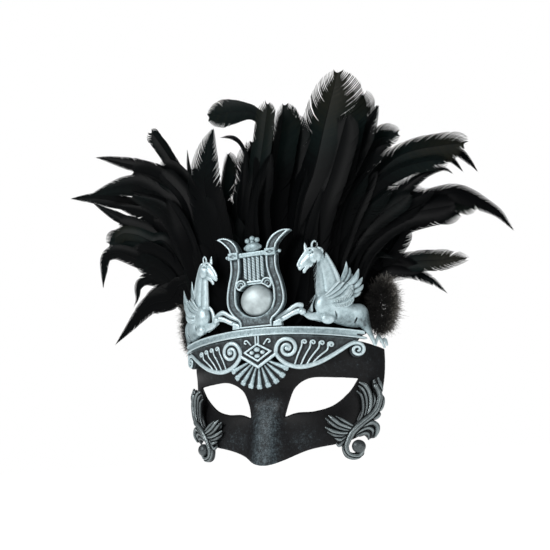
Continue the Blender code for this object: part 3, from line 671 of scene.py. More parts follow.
def make_diamond():
    """Lozenge with four pearls, the chevron under it, a stub and two small hooks above."""
    clay = Clay((-15.5, 0.6, 22), (15.5, 9.4, 48.5), 0.28, depth=5.8, flat=0.9)
    u, z = clay.plane()
    outline = [(-13.2, 34.0), (-13.2, 46.9), (13.2, 46.9), (13.2, 34.0), (0, 24.0)]
    clay.plate(polygon_distance(u, z, outline), PANEL_BACK, 5.4)
    for side in (-1, 1):
        clay.stroke([(side * 12.9, 33.4, 1.15), (0, 25.4, 1.15)], 0.2, step=20)
        clay.stroke([(side * 9.9, 35.8, 0.75), (0, 29.6, 0.75)], 0.15, depth=6.2, step=20)
        clay.stroke([(side * 9.9, 35.8, 0.75), (0, 41.2, 0.75)], 0.15, depth=6.2, step=20)
        hook = [(side * 5.0, 41.0, 0.6), (side * 6.4, 42.8, 0.62), (side * 7.8, 44.2, 0.6),
                (side * 9.4, 44.0, 0.6),
                (side * 9.8, 42.6, 0.6), (side * 8.8, 42.0, 0.65)]
        clay.stroke(hook, 0.2, depth=5.9, step=0.6)
        clay.stroke([(side * 1.1, 41.6, 0.7), (side * 1.1, 46.4, 0.7)], 0.15, depth=6.0)
        clay.blob((side * 4.1, 6.4, 35.5), (1.75, 1.7, 1.45), 0.15)
    clay.blob((0.0, 6.5, 37.5), (2.3, 2.0, 1.7), 0.15)
    clay.blob((0.0, 6.4, 33.0), (2.1, 1.9, 1.5), 0.15)
    clay.cast(("diamond_boss",), "silver", base=0.47, gain=1.0,
              ground=(5.1, 6.8, 0.75), radius=0.6, offset=PANEL_OFFSET)


def make_fan():
    """Nine flutes with thickened toes."""
    clay = Clay((-26, 0.6, 6), (26, 9, 31), 0.3, depth=4.9, flat=0.95)
    for index in range(-FLUTES_EACH_SIDE, FLUTES_EACH_SIDE + 1):
        angle = math.radians(FLUTE_ANGLE * index)
        start = np.array((7.2 * math.sin(angle), 26.4 + 0.9 * abs(index) - 2.4 * math.cos(angle)))
        tip = np.array((22.2 * math.sin(angle), 27.8 - 17.6 * math.cos(angle)))
        way = (tip - start) / np.linalg.norm(tip - start)
        across = np.array((-way[1], way[0]))
        toe = tip - way * 1.5
        middle = (start + toe) / 2
        clay.stroke([(start[0], start[1], 0.8, 4.5), (middle[0], middle[1], 1.4, 4.8),
                     (toe[0], toe[1], 1.8, 5.0)], 0.2)
        for side in (-1.0, 1.0):
            foot = toe + across * side * 0.85 - way * 0.5
            clay.stroke([(foot[0], foot[1], 1.2, 5.5),
                         (foot[0] + way[0] * 1.2, foot[1] + way[1] * 1.2, 1.15, 5.2)], 0.3)
    web = [(20.8 * math.sin(math.radians(a)), 27.4 - 16.4 * math.cos(math.radians(a)))
           for a in range(-74, 75, 8)]
    web += [(7.0, 28.6), (-7.0, 28.6)]
    u, z = clay.plane()
    clay.plate(polygon_distance(u, z, web), PANEL_BACK, 4.3)
    clay.limit_back(PANEL_BACK)
    clay.cast(("shell_fan",), "silver", base=0.38, gain=0.95,
              ground=(4.2, 6.6, 0.6), radius=0.6, offset=PANEL_OFFSET)


# --- lyre ---------------------------------------------------------------------------------

DOME_RADIUS = 11.3
DOME_STRETCH = 1.13       # the dome is this much wider than high
DOME_RISE = 6.4
DOME_COLLAR = 4.2         # n where the dome starts to round
DOME_Z = 71.0
OPENING = (13.9, 11.9)    # half width and half height of the lyre's opening round the dome
STANDING_BACK = 3.2       # n of the flat back of everything above the bar
VOLUTE = (9.9, 82.4)
STRING_PITCH = 3.3
STRING_DEPTH = 7.2
STRAND_REACH = 0.55       # how far a strand's middle runs from its string's middle
STRAND_RADIUS = 0.72
STRAND_TURN = 3.8         # height of one full turn of the two strands
YOKE_Z = 103.8
YOKE_BLOCK_U = 14.2


def make_lyre_frame():
    """Two rimmed arms that end in horns, over a solid foot, with a small volute on each inner side."""
    clay = Clay((-33, 2.4, 49.5), (33, 11.5, 121), 0.34, depth=6.0, flat=0.8)
    u, z = clay.plane()
    reach = np.abs(u)
    arm = smooth_path([(9.5, 0, 59.5, 4.0), (14.6, 0, 63.2, 3.6), (17.6, 0, 68.0, 3.8), (18.2, 0, 73.0, 3.9),
                       (17.7, 0, 79.0, 3.6), (16.5, 0, 84.5, 3.5), (15.0, 0, 89.0, 3.6), (14.0, 0, 94.0, 3.7),
                       (13.9, 0, 99.0, 3.8), (14.1, 0, 103.0, 3.9), (14.3, 0, 106.5, 3.7),
                       (15.4, 0, 110.2, 3.4),
                       (17.9, 0, 113.4, 3.2), (21.4, 0, 116.0, 2.6), (24.8, 0, 117.5, 1.6),
                       (28.0, 0, 118.1, 0.5)], 0.8)
    plan = np.full(np.broadcast_shapes(u.shape, z.shape), FAR, np.float32)
    for a, b in zip(arm, arm[1:]):
        eu, ez = b[0] - a[0], b[2] - a[2]
        t = np.clip(((reach - a[0]) * eu + (z - a[2]) * ez) / (eu * eu + ez * ez + 1e-9), 0, 1)
        away = np.hypot(reach - a[0] - t * eu, z - a[2] - t * ez) - (a[3] + (b[3] - a[3]) * t)
        plan = np.minimum(plan, away)
    base = polygon_distance(u, z,
                            [(-12.2, 51.6), (12.2, 51.6), (12.1, 55.4), (14.0, 59.0), (17.5, 63.2), (0, 68),
                                   (-17.5, 63.2), (-14.0, 59.0), (-12.1, 55.4)])
    plan = np.minimum(plan, base)
    volute = np.sqrt((reach - VOLUTE[0]) ** 2 + (z - VOLUTE[1]) ** 2) - 4.15
    plan = soft_min(plan, volute, 0.5)
    opening = (np.sqrt((u / OPENING[0]) ** 2 + ((z - DOME_Z) / OPENING[1]) ** 2) - 1.0) * 12.6
    plan = np.maximum(plan, -opening)
    rim = np.sqrt(np.clip(1.0 - ((plan + 0.75) / 0.78) ** 2, 0.0, 1.0))
    rim = rim * (1.0 - (1.0 - smooth_step(z, 63.0, 67.0)) * (1.0 - smooth_step(opening, 1.4, 2.2)))
    front = (8.0 + 1.5 * rim).astype(np.float32)
    clay.plate(plan.astype(np.float32), STANDING_BACK, front)
    behind = polygon_distance(u, z, [(-11.5, 102), (11.5, 102), (13.5, 86), (-13.5, 86)])
    clay.plate(behind, STANDING_BACK, 4.9, 0.3)
    for side in (-1, 1):
        clay.stroke(scroll((side * VOLUTE[0], VOLUTE[1]), 2.2, 0.7, 90 - 90 * side, 0.9 * side, 0.55, 0.55,
                           12), 0.2, depth=8.2)
    clay.cast(("lyre_frame",), "silver", base=0.5, gain=0.95,
              ground=(8.0, 9.2, 0.25), radius=0.6)


def make_yoke():
    """Cross beam between two blocks with a hollow lozenge and a knob each."""
    clay = Clay((-23, 4.5, 99.5), (23, 12.5, 108), 0.26, depth=8.4, flat=0.8)
    u, z = clay.plane()
    beam = np.maximum(np.abs(u) - 11.0, np.abs(z - YOKE_Z) - 1.6)
    clay.plate(beam, 6.6, 9.6)
    for side in (-1, 1):
        block = np.maximum(np.abs(u - side * YOKE_BLOCK_U) - 3.8, np.abs(z - YOKE_Z) - 2.5)
        hollow = np.abs(u - side * YOKE_BLOCK_U) / 2.6 + np.abs(z - YOKE_Z) / 1.5
        clay.plate(block, 5.0, (11.2 - 0.7 * smooth_step(1.3 - hollow, 0.0, 0.5)).astype(np.float32))
        clay.stroke([(side * 17.5, YOKE_Z, 0.55), (side * 20.4, YOKE_Z, 0.5)], 0.2)
        clay.blob((side * 20.2, 8.4, YOKE_Z), (1.25, 1.2, 1.25), 0.3)
    clay.cast(("lyre_yoke",), "silver", base=0.6, gain=1.0, radius=0.6)


def make_tailpiece():
    """Two small bars that hold the strings above the dome."""
    clay = Clay((-7, 4.8, 81.4), (7, 9.6, 86.2), 0.26, depth=7.0, flat=0.8)
    clay.stroke([(-5.2, 84.4, 0.75, 7.6), (5.2, 84.4, 0.75, 7.6)], 0.2, step=20)
    clay.stroke([(-5.4, 83.0, 0.8, 6.4), (5.4, 83.0, 0.8, 6.4)], 0.2, step=20)
    clay.cast(("lyre_tailpiece",), "silver", base=0.55, gain=1.0)


def make_finial():
    """Cushion on the yoke with a cluster of beads."""
    clay = Clay((-9, 4.0, 104.5), (9, 10.4, 119.5), 0.28, depth=7.0, flat=0.8)
    clay.blob((0, 7.0, 108.9), (6.2, 2.3, 3.8), 0.3)
    clay.stroke([(-5.6, 108.8, 1.4), (-3.0, 108.8, 2.4), (3.0, 108.8, 2.4), (5.6, 108.8, 1.4)], 0.6, step=4)
    for u, z, r in ((0, 115.3, 1.95), (-3.8, 113.9, 1.9), (3.8, 113.9, 1.9), (0, 112.7, 1.5)):
        clay.blob((u, 7.2, z), (r, r * 0.85, r), 0.15)
    clay.cast(("lyre_finial",), "silver", base=0.58, gain=0.9, radius=0.7)


def tube(path, radii, sides=8):
    """Grid-like points and quads of a round tube along world points (metres)."""
    path = np.asarray(path, float)
    ahead = np.gradient(path, axis=0)
    ahead /= np.linalg.norm(ahead, axis=1)[:, None]
    guide = np.array([0.0, -1.0, 0.0])
    side = np.cross(ahead, guide)
    side /= np.linalg.norm(side, axis=1)[:, None] + 1e-12
    over = np.cross(side, ahead)
    angles = np.arange(sides) / sides * 2.0 * math.pi
    ring = (side[:, None, :] * np.cos(angles)[None, :, None]
            + over[:, None, :] * np.sin(angles)[None, :, None])
    points = path[:, None, :] + ring * np.asarray(radii)[:, None, None]
    i, j = np.meshgrid(np.arange(len(path) - 1), np.arange(sides), indexing="ij")
    a, b = i * sides + j, i * sides + (j + 1) % sides
    quads = np.stack([a, b, b + sides, a + sides], -1).reshape(-1, 4)
    return points.reshape(-1, 3), quads


def strip_quads(count, stations):
    """Quads of count strips, each with two points at every station."""
    k, i = np.meshgrid(np.arange(count), np.arange(stations - 1), indexing="ij")
    a = (k * stations + i) * 2
    return np.stack([a, a + 1, a + 3, a + 2], -1).reshape(-1, 4)


def joined(pieces):
    """One point and quad list from several."""
    points, quads, start = [], [], 0
    for p, q in pieces:
        points.append(p)
        quads.append(q + start)
        start += len(p)
    return np.vstack(points), np.vstack(quads)


def make_strings():
    """Five strings, each twisted from two strands."""
    for index in range(-2, 3):
        low = 84.9 if abs(index) < 2 else 87.0
        z = np.linspace(low, YOKE_Z - 1.8, 90)
        strands = []
        for phase in (0.0, math.pi):
            turn = phase + (z - low) / STRAND_TURN * 2.0 * math.pi
            flat = np.stack([index * STRING_PITCH + STRAND_REACH * np.cos(turn),
                             STRING_DEPTH + STRAND_REACH * np.sin(turn), z], 1)
            strands.append(tube(on_brow(flat), np.full(len(z), STRAND_RADIUS * MM), 7))
        points, quads = joined(strands)
        name = "lyre_string_%d" % (index + 3)
        middle = np.stack([np.full(len(points), index * STRING_PITCH), np.full(len(points), STRING_DEPTH),
                           points[:, 2] / MM], 1)
        turned = np.linalg.norm((points - on_brow(middle))[:, :2], axis=1) / MM
        add_piece(name + "_cast", points, quads, "silver", (name,),
                  {"wear": smooth_step(turned, 0.45, 1.05)})


def make_dome():
    """Smooth pearly dome on a low collar."""
    top = DOME_COLLAR + DOME_RISE
    profile = [(0.0, top), (0.1, top)]
    profile += [(DOME_RADIUS * math.sin(math.radians(a)), DOME_COLLAR + DOME_RISE * math.cos(math.radians(a)))
                for a in range(4, 91, 4)]
    profile += [(DOME_RADIUS, STANDING_BACK), (0.2, STANDING_BACK), (0.0, STANDING_BACK)]
    turns = 72
    angles = np.arange(turns) / turns * 2.0 * math.pi
    rows = [np.stack([DOME_STRETCH * r * np.cos(angles), np.full(turns, n), DOME_Z + r * np.sin(angles)], 1)
            for r, n in profile]
    points = on_brow(np.vstack(rows))
    i, j = np.meshgrid(np.arange(len(profile) - 1), np.arange(turns), indexing="ij")
    a, b = i * turns + j, i * turns + (j + 1) % turns
    quads = np.stack([a, a + turns, b + turns, b], -1).reshape(-1, 4)
    add_piece("lyre_dome_cast", points, quads, "dome", ("lyre_dome",))


# --- horses -------------------------------------------------------------------------------


def sculpt_body(clay):
    """Barrel, chest and neck of the right horse, which faces the lyre."""
    clay.stroke([(50.6, 65.0, 8.3), (56.0, 60.8, 7.4), (62.5, 57.0, 7.0), (68.2, 56.4, 6.6)], 1.2)
    clay.blob((48.6, 6.6, 63.2), (7.4, 4.4, 7.6), 1.4)
    clay.stroke([(46.6, 98.0, 3.9), (49.6, 90.0, 4.3), (51.4, 82.0, 4.7), (52.2, 74.0, 5.2),
                 (52.0, 67.0, 5.6)], 0.8)
    clay.stroke([(43.4, 94.0, 2.8), (45.0, 88.0, 3.4), (45.4, 80.0, 3.7), (46.0, 72.6, 4.0),
                 (47.0, 68.0, 4.4)], 0.9)


def sculpt_head(clay):
    """Skull, muzzle, jaw, brow, eye, cheek groove, mouth, nostril and ears."""
    clay.blob((43.9, 6.4, 98.3), (4.9, 3.4, 5.0), 0.8)
    clay.stroke([(42.0, 98.2, 3.9), (38.2, 95.4, 3.1), (35.0, 92.4, 2.5), (33.7, 90.6, 2.2)], 0.8, depth=6.3)
    clay.blob((43.8, 8.0, 96.6), (3.9, 1.8, 3.9), 0.5)
    clay.stroke([(38.6, 102.2, 1.3), (35.8, 98.8, 1.2), (33.1, 94.9, 1.1), (32.1, 92.4, 1.2)], 0.5, depth=7.0)
    clay.stroke([(42.2, 93.4, 2.2), (38.6, 91.4, 1.7), (36.2, 88.9, 1.4), (35.8, 87.4, 1.1)], 0.5, depth=6.6)
    clay.stroke([(38.6, 103.0, 0.8), (41.6, 103.4, 0.9), (44.6, 102.4, 0.9), (46.4, 100.6, 0.8)], 0.4,
                depth=8.0)
    clay.blob((41.0, 8.9, 100.6), (1.9, 1.6, 1.15), 0.3, carve=True)
    clay.blob((41.2, 8.1, 100.6), (0.95, 0.8, 0.75), 0.1)
    clay.stroke([(39.8, 99.6, 0.35), (37.6, 97.0, 0.4), (35.2, 93.9, 0.35)], 0.3, depth=8.6, flat=2.0,
                carve=True)
    clay.stroke([(32.0, 87.2, 0.6), (34.4, 89.0, 0.5), (36.2, 90.4, 0.3)], 0.2, depth=7.4, flat=4.0,
                carve=True)
    clay.blob((33.0, 8.0, 91.0), (0.6, 1.2, 0.5), 0.2, carve=True)
    clay.stroke([(37.6, 102.6, 1.4), (37.4, 105.4, 1.1), (37.0, 107.8, 0.4)], 0.4, depth=5.8)
    clay.stroke([(42.0, 103.4, 0.8), (41.8, 106.2, 0.7), (43.4, 108.6, 0.7), (45.0, 107.0, 0.7),
                 (44.6, 103.4, 0.8)], 0.3, depth=6.6, step=0.5)


def sculpt_mane(clay):
    """A rope of notched locks down the back of the neck."""
    mane = smooth_path([(46.6, 0, 103.4, 0), (49.6, 0, 99.6, 0), (52.6, 0, 93.8, 0), (54.8, 0, 88.6, 0),
                        (56.6, 0, 83.4, 0), (57.5, 0, 78.4, 0)], 0.3)
    for spot in mane[3::6]:
        u, z = spot[0], spot[2]
        clay.stroke([(u - 1.3, z + 0.9, 0.7, 6.6), (u + 0.1, z + 0.1, 0.95, 7.2),
                     (u + 1.4, z - 0.9, 0.7, 6.2)],
                    0.1, step=0.8)
    clay.stroke([(46.6, 102.2, 1.2), (51.4, 94.0, 1.3), (54.6, 85.6, 1.3), (55.8, 78.0, 1.2)], 0.4, depth=5.2)


def sculpt_forelegs(clay):
    """The near foreleg with its hoof, then the far one and the far side of the chest."""
    clay.stroke([(50.4, 60.0, 6.0), (49.4, 55.6, 4.8), (43.6, 55.9, 3.2), (38.3, 56.4, 2.55),
                 (34.2, 59.2, 2.1),
                 (31.3, 60.7, 2.0), (27.0, 59.7, 1.75), (22.8, 57.7, 1.65), (19.0, 56.0, 1.75)], 0.9,
                depth=6.6)
    clay.blob((49.3, 8.4, 53.6), (4.3, 2.2, 3.6), 0.7)
    clay.blob((33.2, 7.4, 59.8), (2.4, 1.8, 2.3), 0.7)
    clay.blob((17.6, 7.0, 55.4), (1.9, 1.9, 1.7), 0.4)
    u, z = clay.plane()
    hoof = polygon_distance(u, z, [(12.4, 51.6), (18.9, 51.6), (18.6, 54.2), (15.6, 56.0), (13.2, 54.8)])
    clay.plate(hoof, 3.4, 8.6, 0.3)
    clay.stroke([(44.0, 52.6, 0.7), (38.8, 54.6, 0.7), (33.0, 57.6, 0.6)], 0.3, depth=5.2)
    clay.stroke([(36.6, 61.8, 2.0), (33.0, 64.0, 2.0), (29.0, 65.0, 1.7), (22.6, 61.5, 1.6),
                 (17.4, 58.9, 1.4),
                 (13.6, 56.4, 1.2)], 0.4, depth=4.6)
    clay.stroke([(43.4, 71.6, 1.0), (40.2, 68.2, 1.4), (38.6, 64.6, 1.5), (38.6, 60.4, 1.4)], 0.4, depth=5.0)
    clay.stroke([(41.6, 69.0, 0.5), (40.4, 64.8, 0.6), (40.8, 60.4, 0.5)], 0.3, depth=7.2, flat=2.0,
                carve=True)


def sculpt_hindquarters(clay):
    """Belly, haunch, hind leg and the creases cut last."""
    clay.stroke([(56.0, 55.5, 5.6), (62.0, 53.2, 5.6), (67.0, 52.0, 5.0)], 1.2, depth=5.2)
    clay.blob((69.6, 6.2, 55.4), (5.6, 3.6, 7.4), 1.0)
    clay.stroke([(69.8, 53.5, 5.6), (72.6, 48.6, 3.6), (75.0, 43.6, 2.0), (76.9, 38.8, 1.45),
                 (78.3, 35.0, 1.3)], 0.8,
                depth=6.2)
    clay.stroke([(78.3, 35.0, 1.2), (81.5, 41.0, 1.15), (84.0, 35.8, 1.0), (85.2, 32.8, 1.0)], 0.3,
                depth=6.0, step=9)
    clay.stroke([(84.2, 36.6, 1.2), (87.0, 38.0, 1.5), (88.4, 34.6, 1.1)], 0.3, depth=4.8)
    clay.stroke([(65.6, 50.0, 0.5), (66.8, 53.4, 0.5), (66.4, 57.0, 0.3)], 0.4, depth=8.2, flat=2.0,
                carve=True)
    clay.stroke([(53.4, 51.0, 0.6), (54.6, 54.6, 0.6), (54.0, 58.6, 0.3)], 0.4, depth=8.8, flat=2.0,
                carve=True)
    clay.stroke([(48.6, 96.2, 0.2), (47.2, 88.0, 0.4), (47.9, 80.0, 0.45), (48.2, 73.0, 0.2)], 0.5, depth=8.9,
                flat=1.6, carve=True)


def make_horses():
    """Rearing winged horse on the right of the lyre and its mirror image on the left."""
    clay = Clay((10, 2.2, 29), (92, 13.2, 111), 0.4, depth=6.0, flat=0.55)
    for sculpt in (sculpt_body, sculpt_head, sculpt_mane, sculpt_forelegs, sculpt_hindquarters):
        sculpt(clay)
    clay.limit_back(STANDING_BACK)

    def painted_belly_shade(flat, wear):
        # Painted shade: wear drops on the belly, haunch and hind leg below the chest, darkening the underside
        # of the body.
        low = smooth_step(60.0 - flat[:, 2], 0.0, 9.0) * smooth_step(flat[:, 0], 51.0, 57.0)
        return wear - 0.3 * low
    clay.cast(("horse_right", "horse_left"), "silver", base=0.8, gain=0.85,
              radius=0.8, extra=painted_belly_shade)


def make_near_wings():
    """Wing towards the viewer: four long blades over five short strips, two of them cut into barbs."""
    clay = Clay((46, 5.5, 58), (75, 13.2, 89), 0.3, depth=9.4, flat=0.5)
    blades = [
        [(60.0, 68.4, 1.3), (64.6, 68.8, 1.9), (67.8, 69.3, 1.5), (70.4, 70.9, 0.35)],
        [(61.0, 70.6, 1.3), (66.0, 71.8, 2.0), (69.8, 73.2, 1.6), (72.1, 76.0, 0.35)],
        [(61.0, 72.6, 1.3), (65.8, 74.8, 2.0), (69.2, 77.2, 1.7), (71.8, 81.0, 0.35)],
        [(60.5, 74.5, 1.3), (64.6, 77.4, 2.0), (67.7, 81.2, 1.8), (69.7, 87.0, 0.35)],
    ]
    for index, blade in enumerate(blades):
        clay.outlined(blade, lift=-0.5 + 0.3 * index, groove=0.35)
    strips = [
        [(49.0, 70.2, 0.7), (52.2, 72.8, 1.0), (55.2, 76.4, 1.15), (57.6, 78.8, 0.6)],
        [(49.2, 68.8, 0.8), (53.2, 70.9, 1.25), (56.8, 74.3, 1.4), (59.8, 77.6, 0.8)],
        [(49.6, 67.2, 0.9), (54.0, 68.6, 1.4), (58.4, 71.6, 1.6), (62.2, 75.8, 1.1)],
        [(50.6, 63.4, 0.7), (54.6, 62.5, 1.9), (59.2, 62.7, 2.3), (62.8, 64.6, 2.2), (64.9, 67.4, 1.0)],
        [(50.4, 65.4, 0.7), (54.6, 65.7, 2.0), (59.2, 67.4, 2.6), (62.6, 70.6, 2.7), (64.6, 75.0, 1.3)],
    ]
    for index, strip in enumerate(strips):
        clay.outlined(strip, lift=0.5 + 0.12 * index, groove=0.35)
    for band, across in ((strips[3], 1.5), (strips[4], 1.9)):
        path = smooth_path(clay.rows(band), 0.2)[6:-6]
        for spot, onward in zip(path[::5], path[1::5]):
            way = onward[[0, 2]] - spot[[0, 2]]
            way /= np.linalg.norm(way) + 1e-9
            over = np.array((way[1], -way[0]))
            half = min(across, spot[3] * 0.85)
            a = spot[[0, 2]] - over * half * 0.2 + way * 0.3
            b = spot[[0, 2]] + over * half - way * 0.9
            clay.stroke([(a[0], a[1], 0.16, 11.2), (b[0], b[1], 0.22, 10.9)], 0.1, flat=3.0, carve=True,
                        step=9)
    for blade in blades:
        clay.stroke([(u, z, 0.14, 10.9) for u, z, _ in blade[:-1]], 0.2, flat=2.0, carve=True)
    clay.limit_back(6.6)
    clay.cast(("wing_near_right", "wing_near_left"), "silver", base=0.5,
              gain=1.15, radius=0.6)


def make_far_wings():
    """Wing behind: three quills."""
    clay = Clay((55, 2.4, 73), (69, 8.0, 95), 0.3, depth=4.8, flat=0.6)
    quills = [
        [(60.6, 75.6, 1.0), (64.4, 78.8, 1.6), (66.2, 81.4, 1.2), (66.8, 84.0, 0.3)],
        [(59.4, 76.4, 1.0), (62.8, 80.6, 1.7), (64.8, 84.6, 1.4), (65.5, 88.6, 0.3)],
        [(57.8, 77.2, 1.0), (60.8, 82.0, 1.7), (62.8, 87.2, 1.5), (63.4, 93.0, 0.3)],
    ]
    for index, quill in enumerate(quills):
        clay.outlined(quill, lift=0.35 * index, groove=0.3)
    clay.limit_back(STANDING_BACK)
    clay.cast(("wing_far_right", "wing_far_left"), "silver", base=0.48,
              gain=1.1, radius=0.6)


# --- acanthus -----------------------------------------------------------------------------

# Ridge lines of the leaf spray: depth, radius and the (u, z) points from the stem outwards.
STEM = [(77.3, 6.4), (79.0, 2.7), (79.5, -1.2), (77.8, -6.4), (75.3, -10.4), (71.6, -14.0), (67.2, -17.3),
        (62.8, -20.8), (59.1, -24.8), (56.8, -29.4), (55.6, -33.1), (56.7, -37.0), (59.8, -38.8),
        (63.4, -38.8),
        (65.9, -36.1)]
LEAF_RIDGES = [
    (4.0, 0.95, [(56.6, -25.6), (54.0, -31.6), (54.3, -35.9), (56.8, -39.4), (59.9, -40.6), (63.6, -40.0),
                 (66.2, -37.2)]),
    (4.8, 1.25, [(70.3, -12.2), (72.3, -7.5), (72.9, -1.8), (72.1, 3.6), (70.0, 7.5), (67.1, 9.4)]),
    (4.1, 0.95, [(68.8, -13.1), (70.4, -7.4), (70.6, -1.7), (69.7, 2.7), (68.0, 5.7), (66.3, 7.2)]),
    (3.7, 0.8, [(63.4, -18.4), (67.0, -13.0), (68.3, -7.4), (68.2, -1.6), (67.0, 1.8), (65.0, 3.7)]),
    (4.6, 0.8, [(73.2, -9.5), (75.1, -5.8), (75.9, -2.0), (75.4, 1.6)]),
    (4.6, 1.3, [(78.6, 0.6), (77.6, 5.2), (76.8, 10.2)]),
    (4.6, 1.3, [(79.9, 0.7), (80.8, 5.5), (79.9, 11.6)]),
    (4.2, 1.25, [(77.2, -11.4), (79.8, -9.0), (81.4, -5.7), (81.8, -1.8), (81.2, 0.4)]),
    (4.1, 1.15, [(72.9, -15.2), (76.2, -14.8), (78.4, -12.9), (79.0, -11.2)]),
    (4.9, 1.4, [(61.6, -23.7), (64.6, -20.8), (68.4, -18.6), (72.9, -17.8), (76.0, -19.9), (76.1, -23.6),
                (74.8, -27.2)]),
    (4.3, 1.1, [(62.4, -24.9), (66.4, -22.2), (70.2, -21.2), (73.0, -22.8), (73.3, -26.2)]),
    (3.8, 1.1, [(62.9, -26.0), (67.0, -24.6), (69.9, -25.2), (70.6, -28.9)]),
    (4.3, 0.95, [(61.0, -19.5), (57.9, -17.6), (54.0, -14.9), (50.3, -12.4)]),
    (4.7, 1.15, [(60.0, -21.4), (56.4, -19.6), (52.0, -17.2), (48.6, -14.2), (45.9, -11.9)]),
    (4.1, 1.05, [(59.3, -22.4), (55.3, -21.5), (50.6, -19.5), (47.1, -16.6), (43.6, -13.4)]),
    (4.5, 1.1, [(57.8, -23.9), (52.6, -23.6), (48.1, -22.1), (43.2, -19.4)]),
    (3.9, 1.0, [(57.0, -25.4), (52.5, -25.6), (48.5, -24.6), (44.3, -22.6)]),
    (4.3, 0.95, [(56.0, -26.2), (53.1, -28.0), (51.0, -27.7), (48.7, -26.9)]),
    (4.0, 0.95, [(55.3, -28.0), (52.9, -30.4), (51.0, -31.8), (49.3, -30.2)]),
]
# Low webs that carry the ridges: radius and points.
LEAF_WEBS = [
    (2.3, [(66.0, -16.0), (70.0, -8.0), (71.0, -1.0), (69.0, 5.4)]),
    (2.6, [(78.9, -8.0), (79.2, 0.0), (78.7, 8.8)]),
    (3.2, [(64.0, -22.6), (70.4, -20.6), (73.6, -22.6), (74.0, -25.4)]),
    (2.4, [(65.0, -24.6), (69.0, -24.0), (71.6, -26.4)]),
    (2.4, [(58.0, -22.4), (51.4, -19.6), (46.6, -15.6)]),
    (2.0, [(56.6, -25.0), (50.6, -24.4), (46.0, -21.6)]),
    (1.6, [(55.0, -28.6), (51.4, -29.2)]),
    (2.4, [(60.0, -24.0), (55.4, -31.0), (56.0, -37.6), (60.6, -39.6), (65.0, -37.6)]),
    (3.0, [(76.6, -9.0), (69.6, -15.4), (60.6, -23.0)]),
]
LEFT_SPRAY_SHIFT = 6.5    # the left spray is glued this much nearer the middle


def tapered(points, radius, depth):
    """Stroke rows that swell in the middle and run out at the tip."""
    last = len(points) - 1
    swell = [radius * (0.8 + 0.3 * math.sin(math.pi * i / last)) for i in range(last)] + [radius * 0.5]
    return [(a, b, r, depth - (0.7 if i == last else 0.0)) for i,
            ((a, b), r) in enumerate(zip(points, swell))]


def make_acanthus():
    """Leaf spray on the cheek: thin raised ridges with deep grooves between them, over low webs."""
    clay = Clay((40, 0.2, -46), (87, 10.5, 16), 0.34, depth=4.2, flat=0.8)
    for radius, points in LEAF_WEBS:
        clay.stroke([(a, b, radius, 2.3) for a, b in points], 0.4, flat=0.55)
    for depth, radius, points in LEAF_RIDGES:
        clay.outlined(tapered(points, 1.15 * radius, depth), groove=0.3, blend=0.15, sink=0.5, flat=1.2)
    width = [1.1 + 1.1 * math.sin(math.pi * min(1.0, 0.18 + i / 14.0)) for i in range(len(STEM))]
    clay.outlined([(a, b, r, 4.6) for (a, b), r in zip(STEM, width)], groove=0.4, lift=0.3, blend=0.15,
                  sink=0.6,
                  flat=1.0)
    clay.stroke([(a + 0.35, b + 0.35, 0.28, 4.8 + r) for (a, b), r in list(zip(STEM, width))[1:-1]], 0.3,
                flat=1.5,
                carve=True)
    clay.limit_back(1.6)
    clay.cast(("acanthus_right", "acanthus_left"), "pewter", base=0.5,
              gain=1.15, ground=(3.4, 6.0, 0.5), radius=0.6, twin_shift=LEFT_SPRAY_SHIFT)

    clay = Clay((57, -0.6, -39), (70, 10.5, -26), 0.3, depth=4.8, flat=1.0)
    clay.blob((63.4, 4.8, -33.0), (4.4, 4.0, 4.4), 0.1)
    clay.cast(("acanthus_pearl_right", "acanthus_pearl_left"), "pewter",
              base=0.6, gain=0.5, radius=0.9, twin_shift=LEFT_SPRAY_SHIFT)


# --- shell --------------------------------------------------------------------------------

SHELL_TOP = 46.0
SHELL_TOP_DROP = 14.0
SHELL_REACH = 91.5
SHELL_THICKNESS = 2.0
LOW_EDGE = -32.0          # height of the lower edge beside the nose, and how the nose and corners move it
NOSE_DROP = 11.5
CORNER_RISE = 8.0
CORNER_REACH = 70.0
EYE_GRID_REACH = 95.0     # the eye openings go straight back, so they are laid out in x
EYE_UPPER = [(13.6, -11.0), (16.2, -1.5), (21.5, 8.5), (33.0, 14.2), (50.0, 13.6), (63.0, 12.2)]
EYE_LOWER = [(63.0, 12.2), (57.0, 3.6), (46.5, -4.8), (34.0, -8.2), (22.0, -8.6), (13.6, -11.0)]


def skin(u, z):
    """How far the outside of the shell stands off the brow curve."""
    reach = np.abs(u)
    raised = 2.0 * smooth_step(z, 15.0, 25.0) * (1.0 - smooth_step(reach, 66.0, 86.0))
    socket = -4.0 * np.exp(-np.abs((reach - 34.0) / 30.0) ** 3 - np.abs((z - 2.0) / 13.0) ** 3)
    bridge = -4.0 * bell(u, 0.0, 16.0) * bell(z, 2.0, 12.0)
    fall = np.clip(-z / 42.0, 0.0, 1.0)
    nose = 9.0 * fall * np.exp(-np.abs(u / (7.0 + 8.0 * fall)) ** 3)
    cheek = 1.6 * bell(reach, 46.0, 22.0) * bell(z, -26.0, 12.0)
    return raised + np.minimum(socket, bridge) + nose + cheek


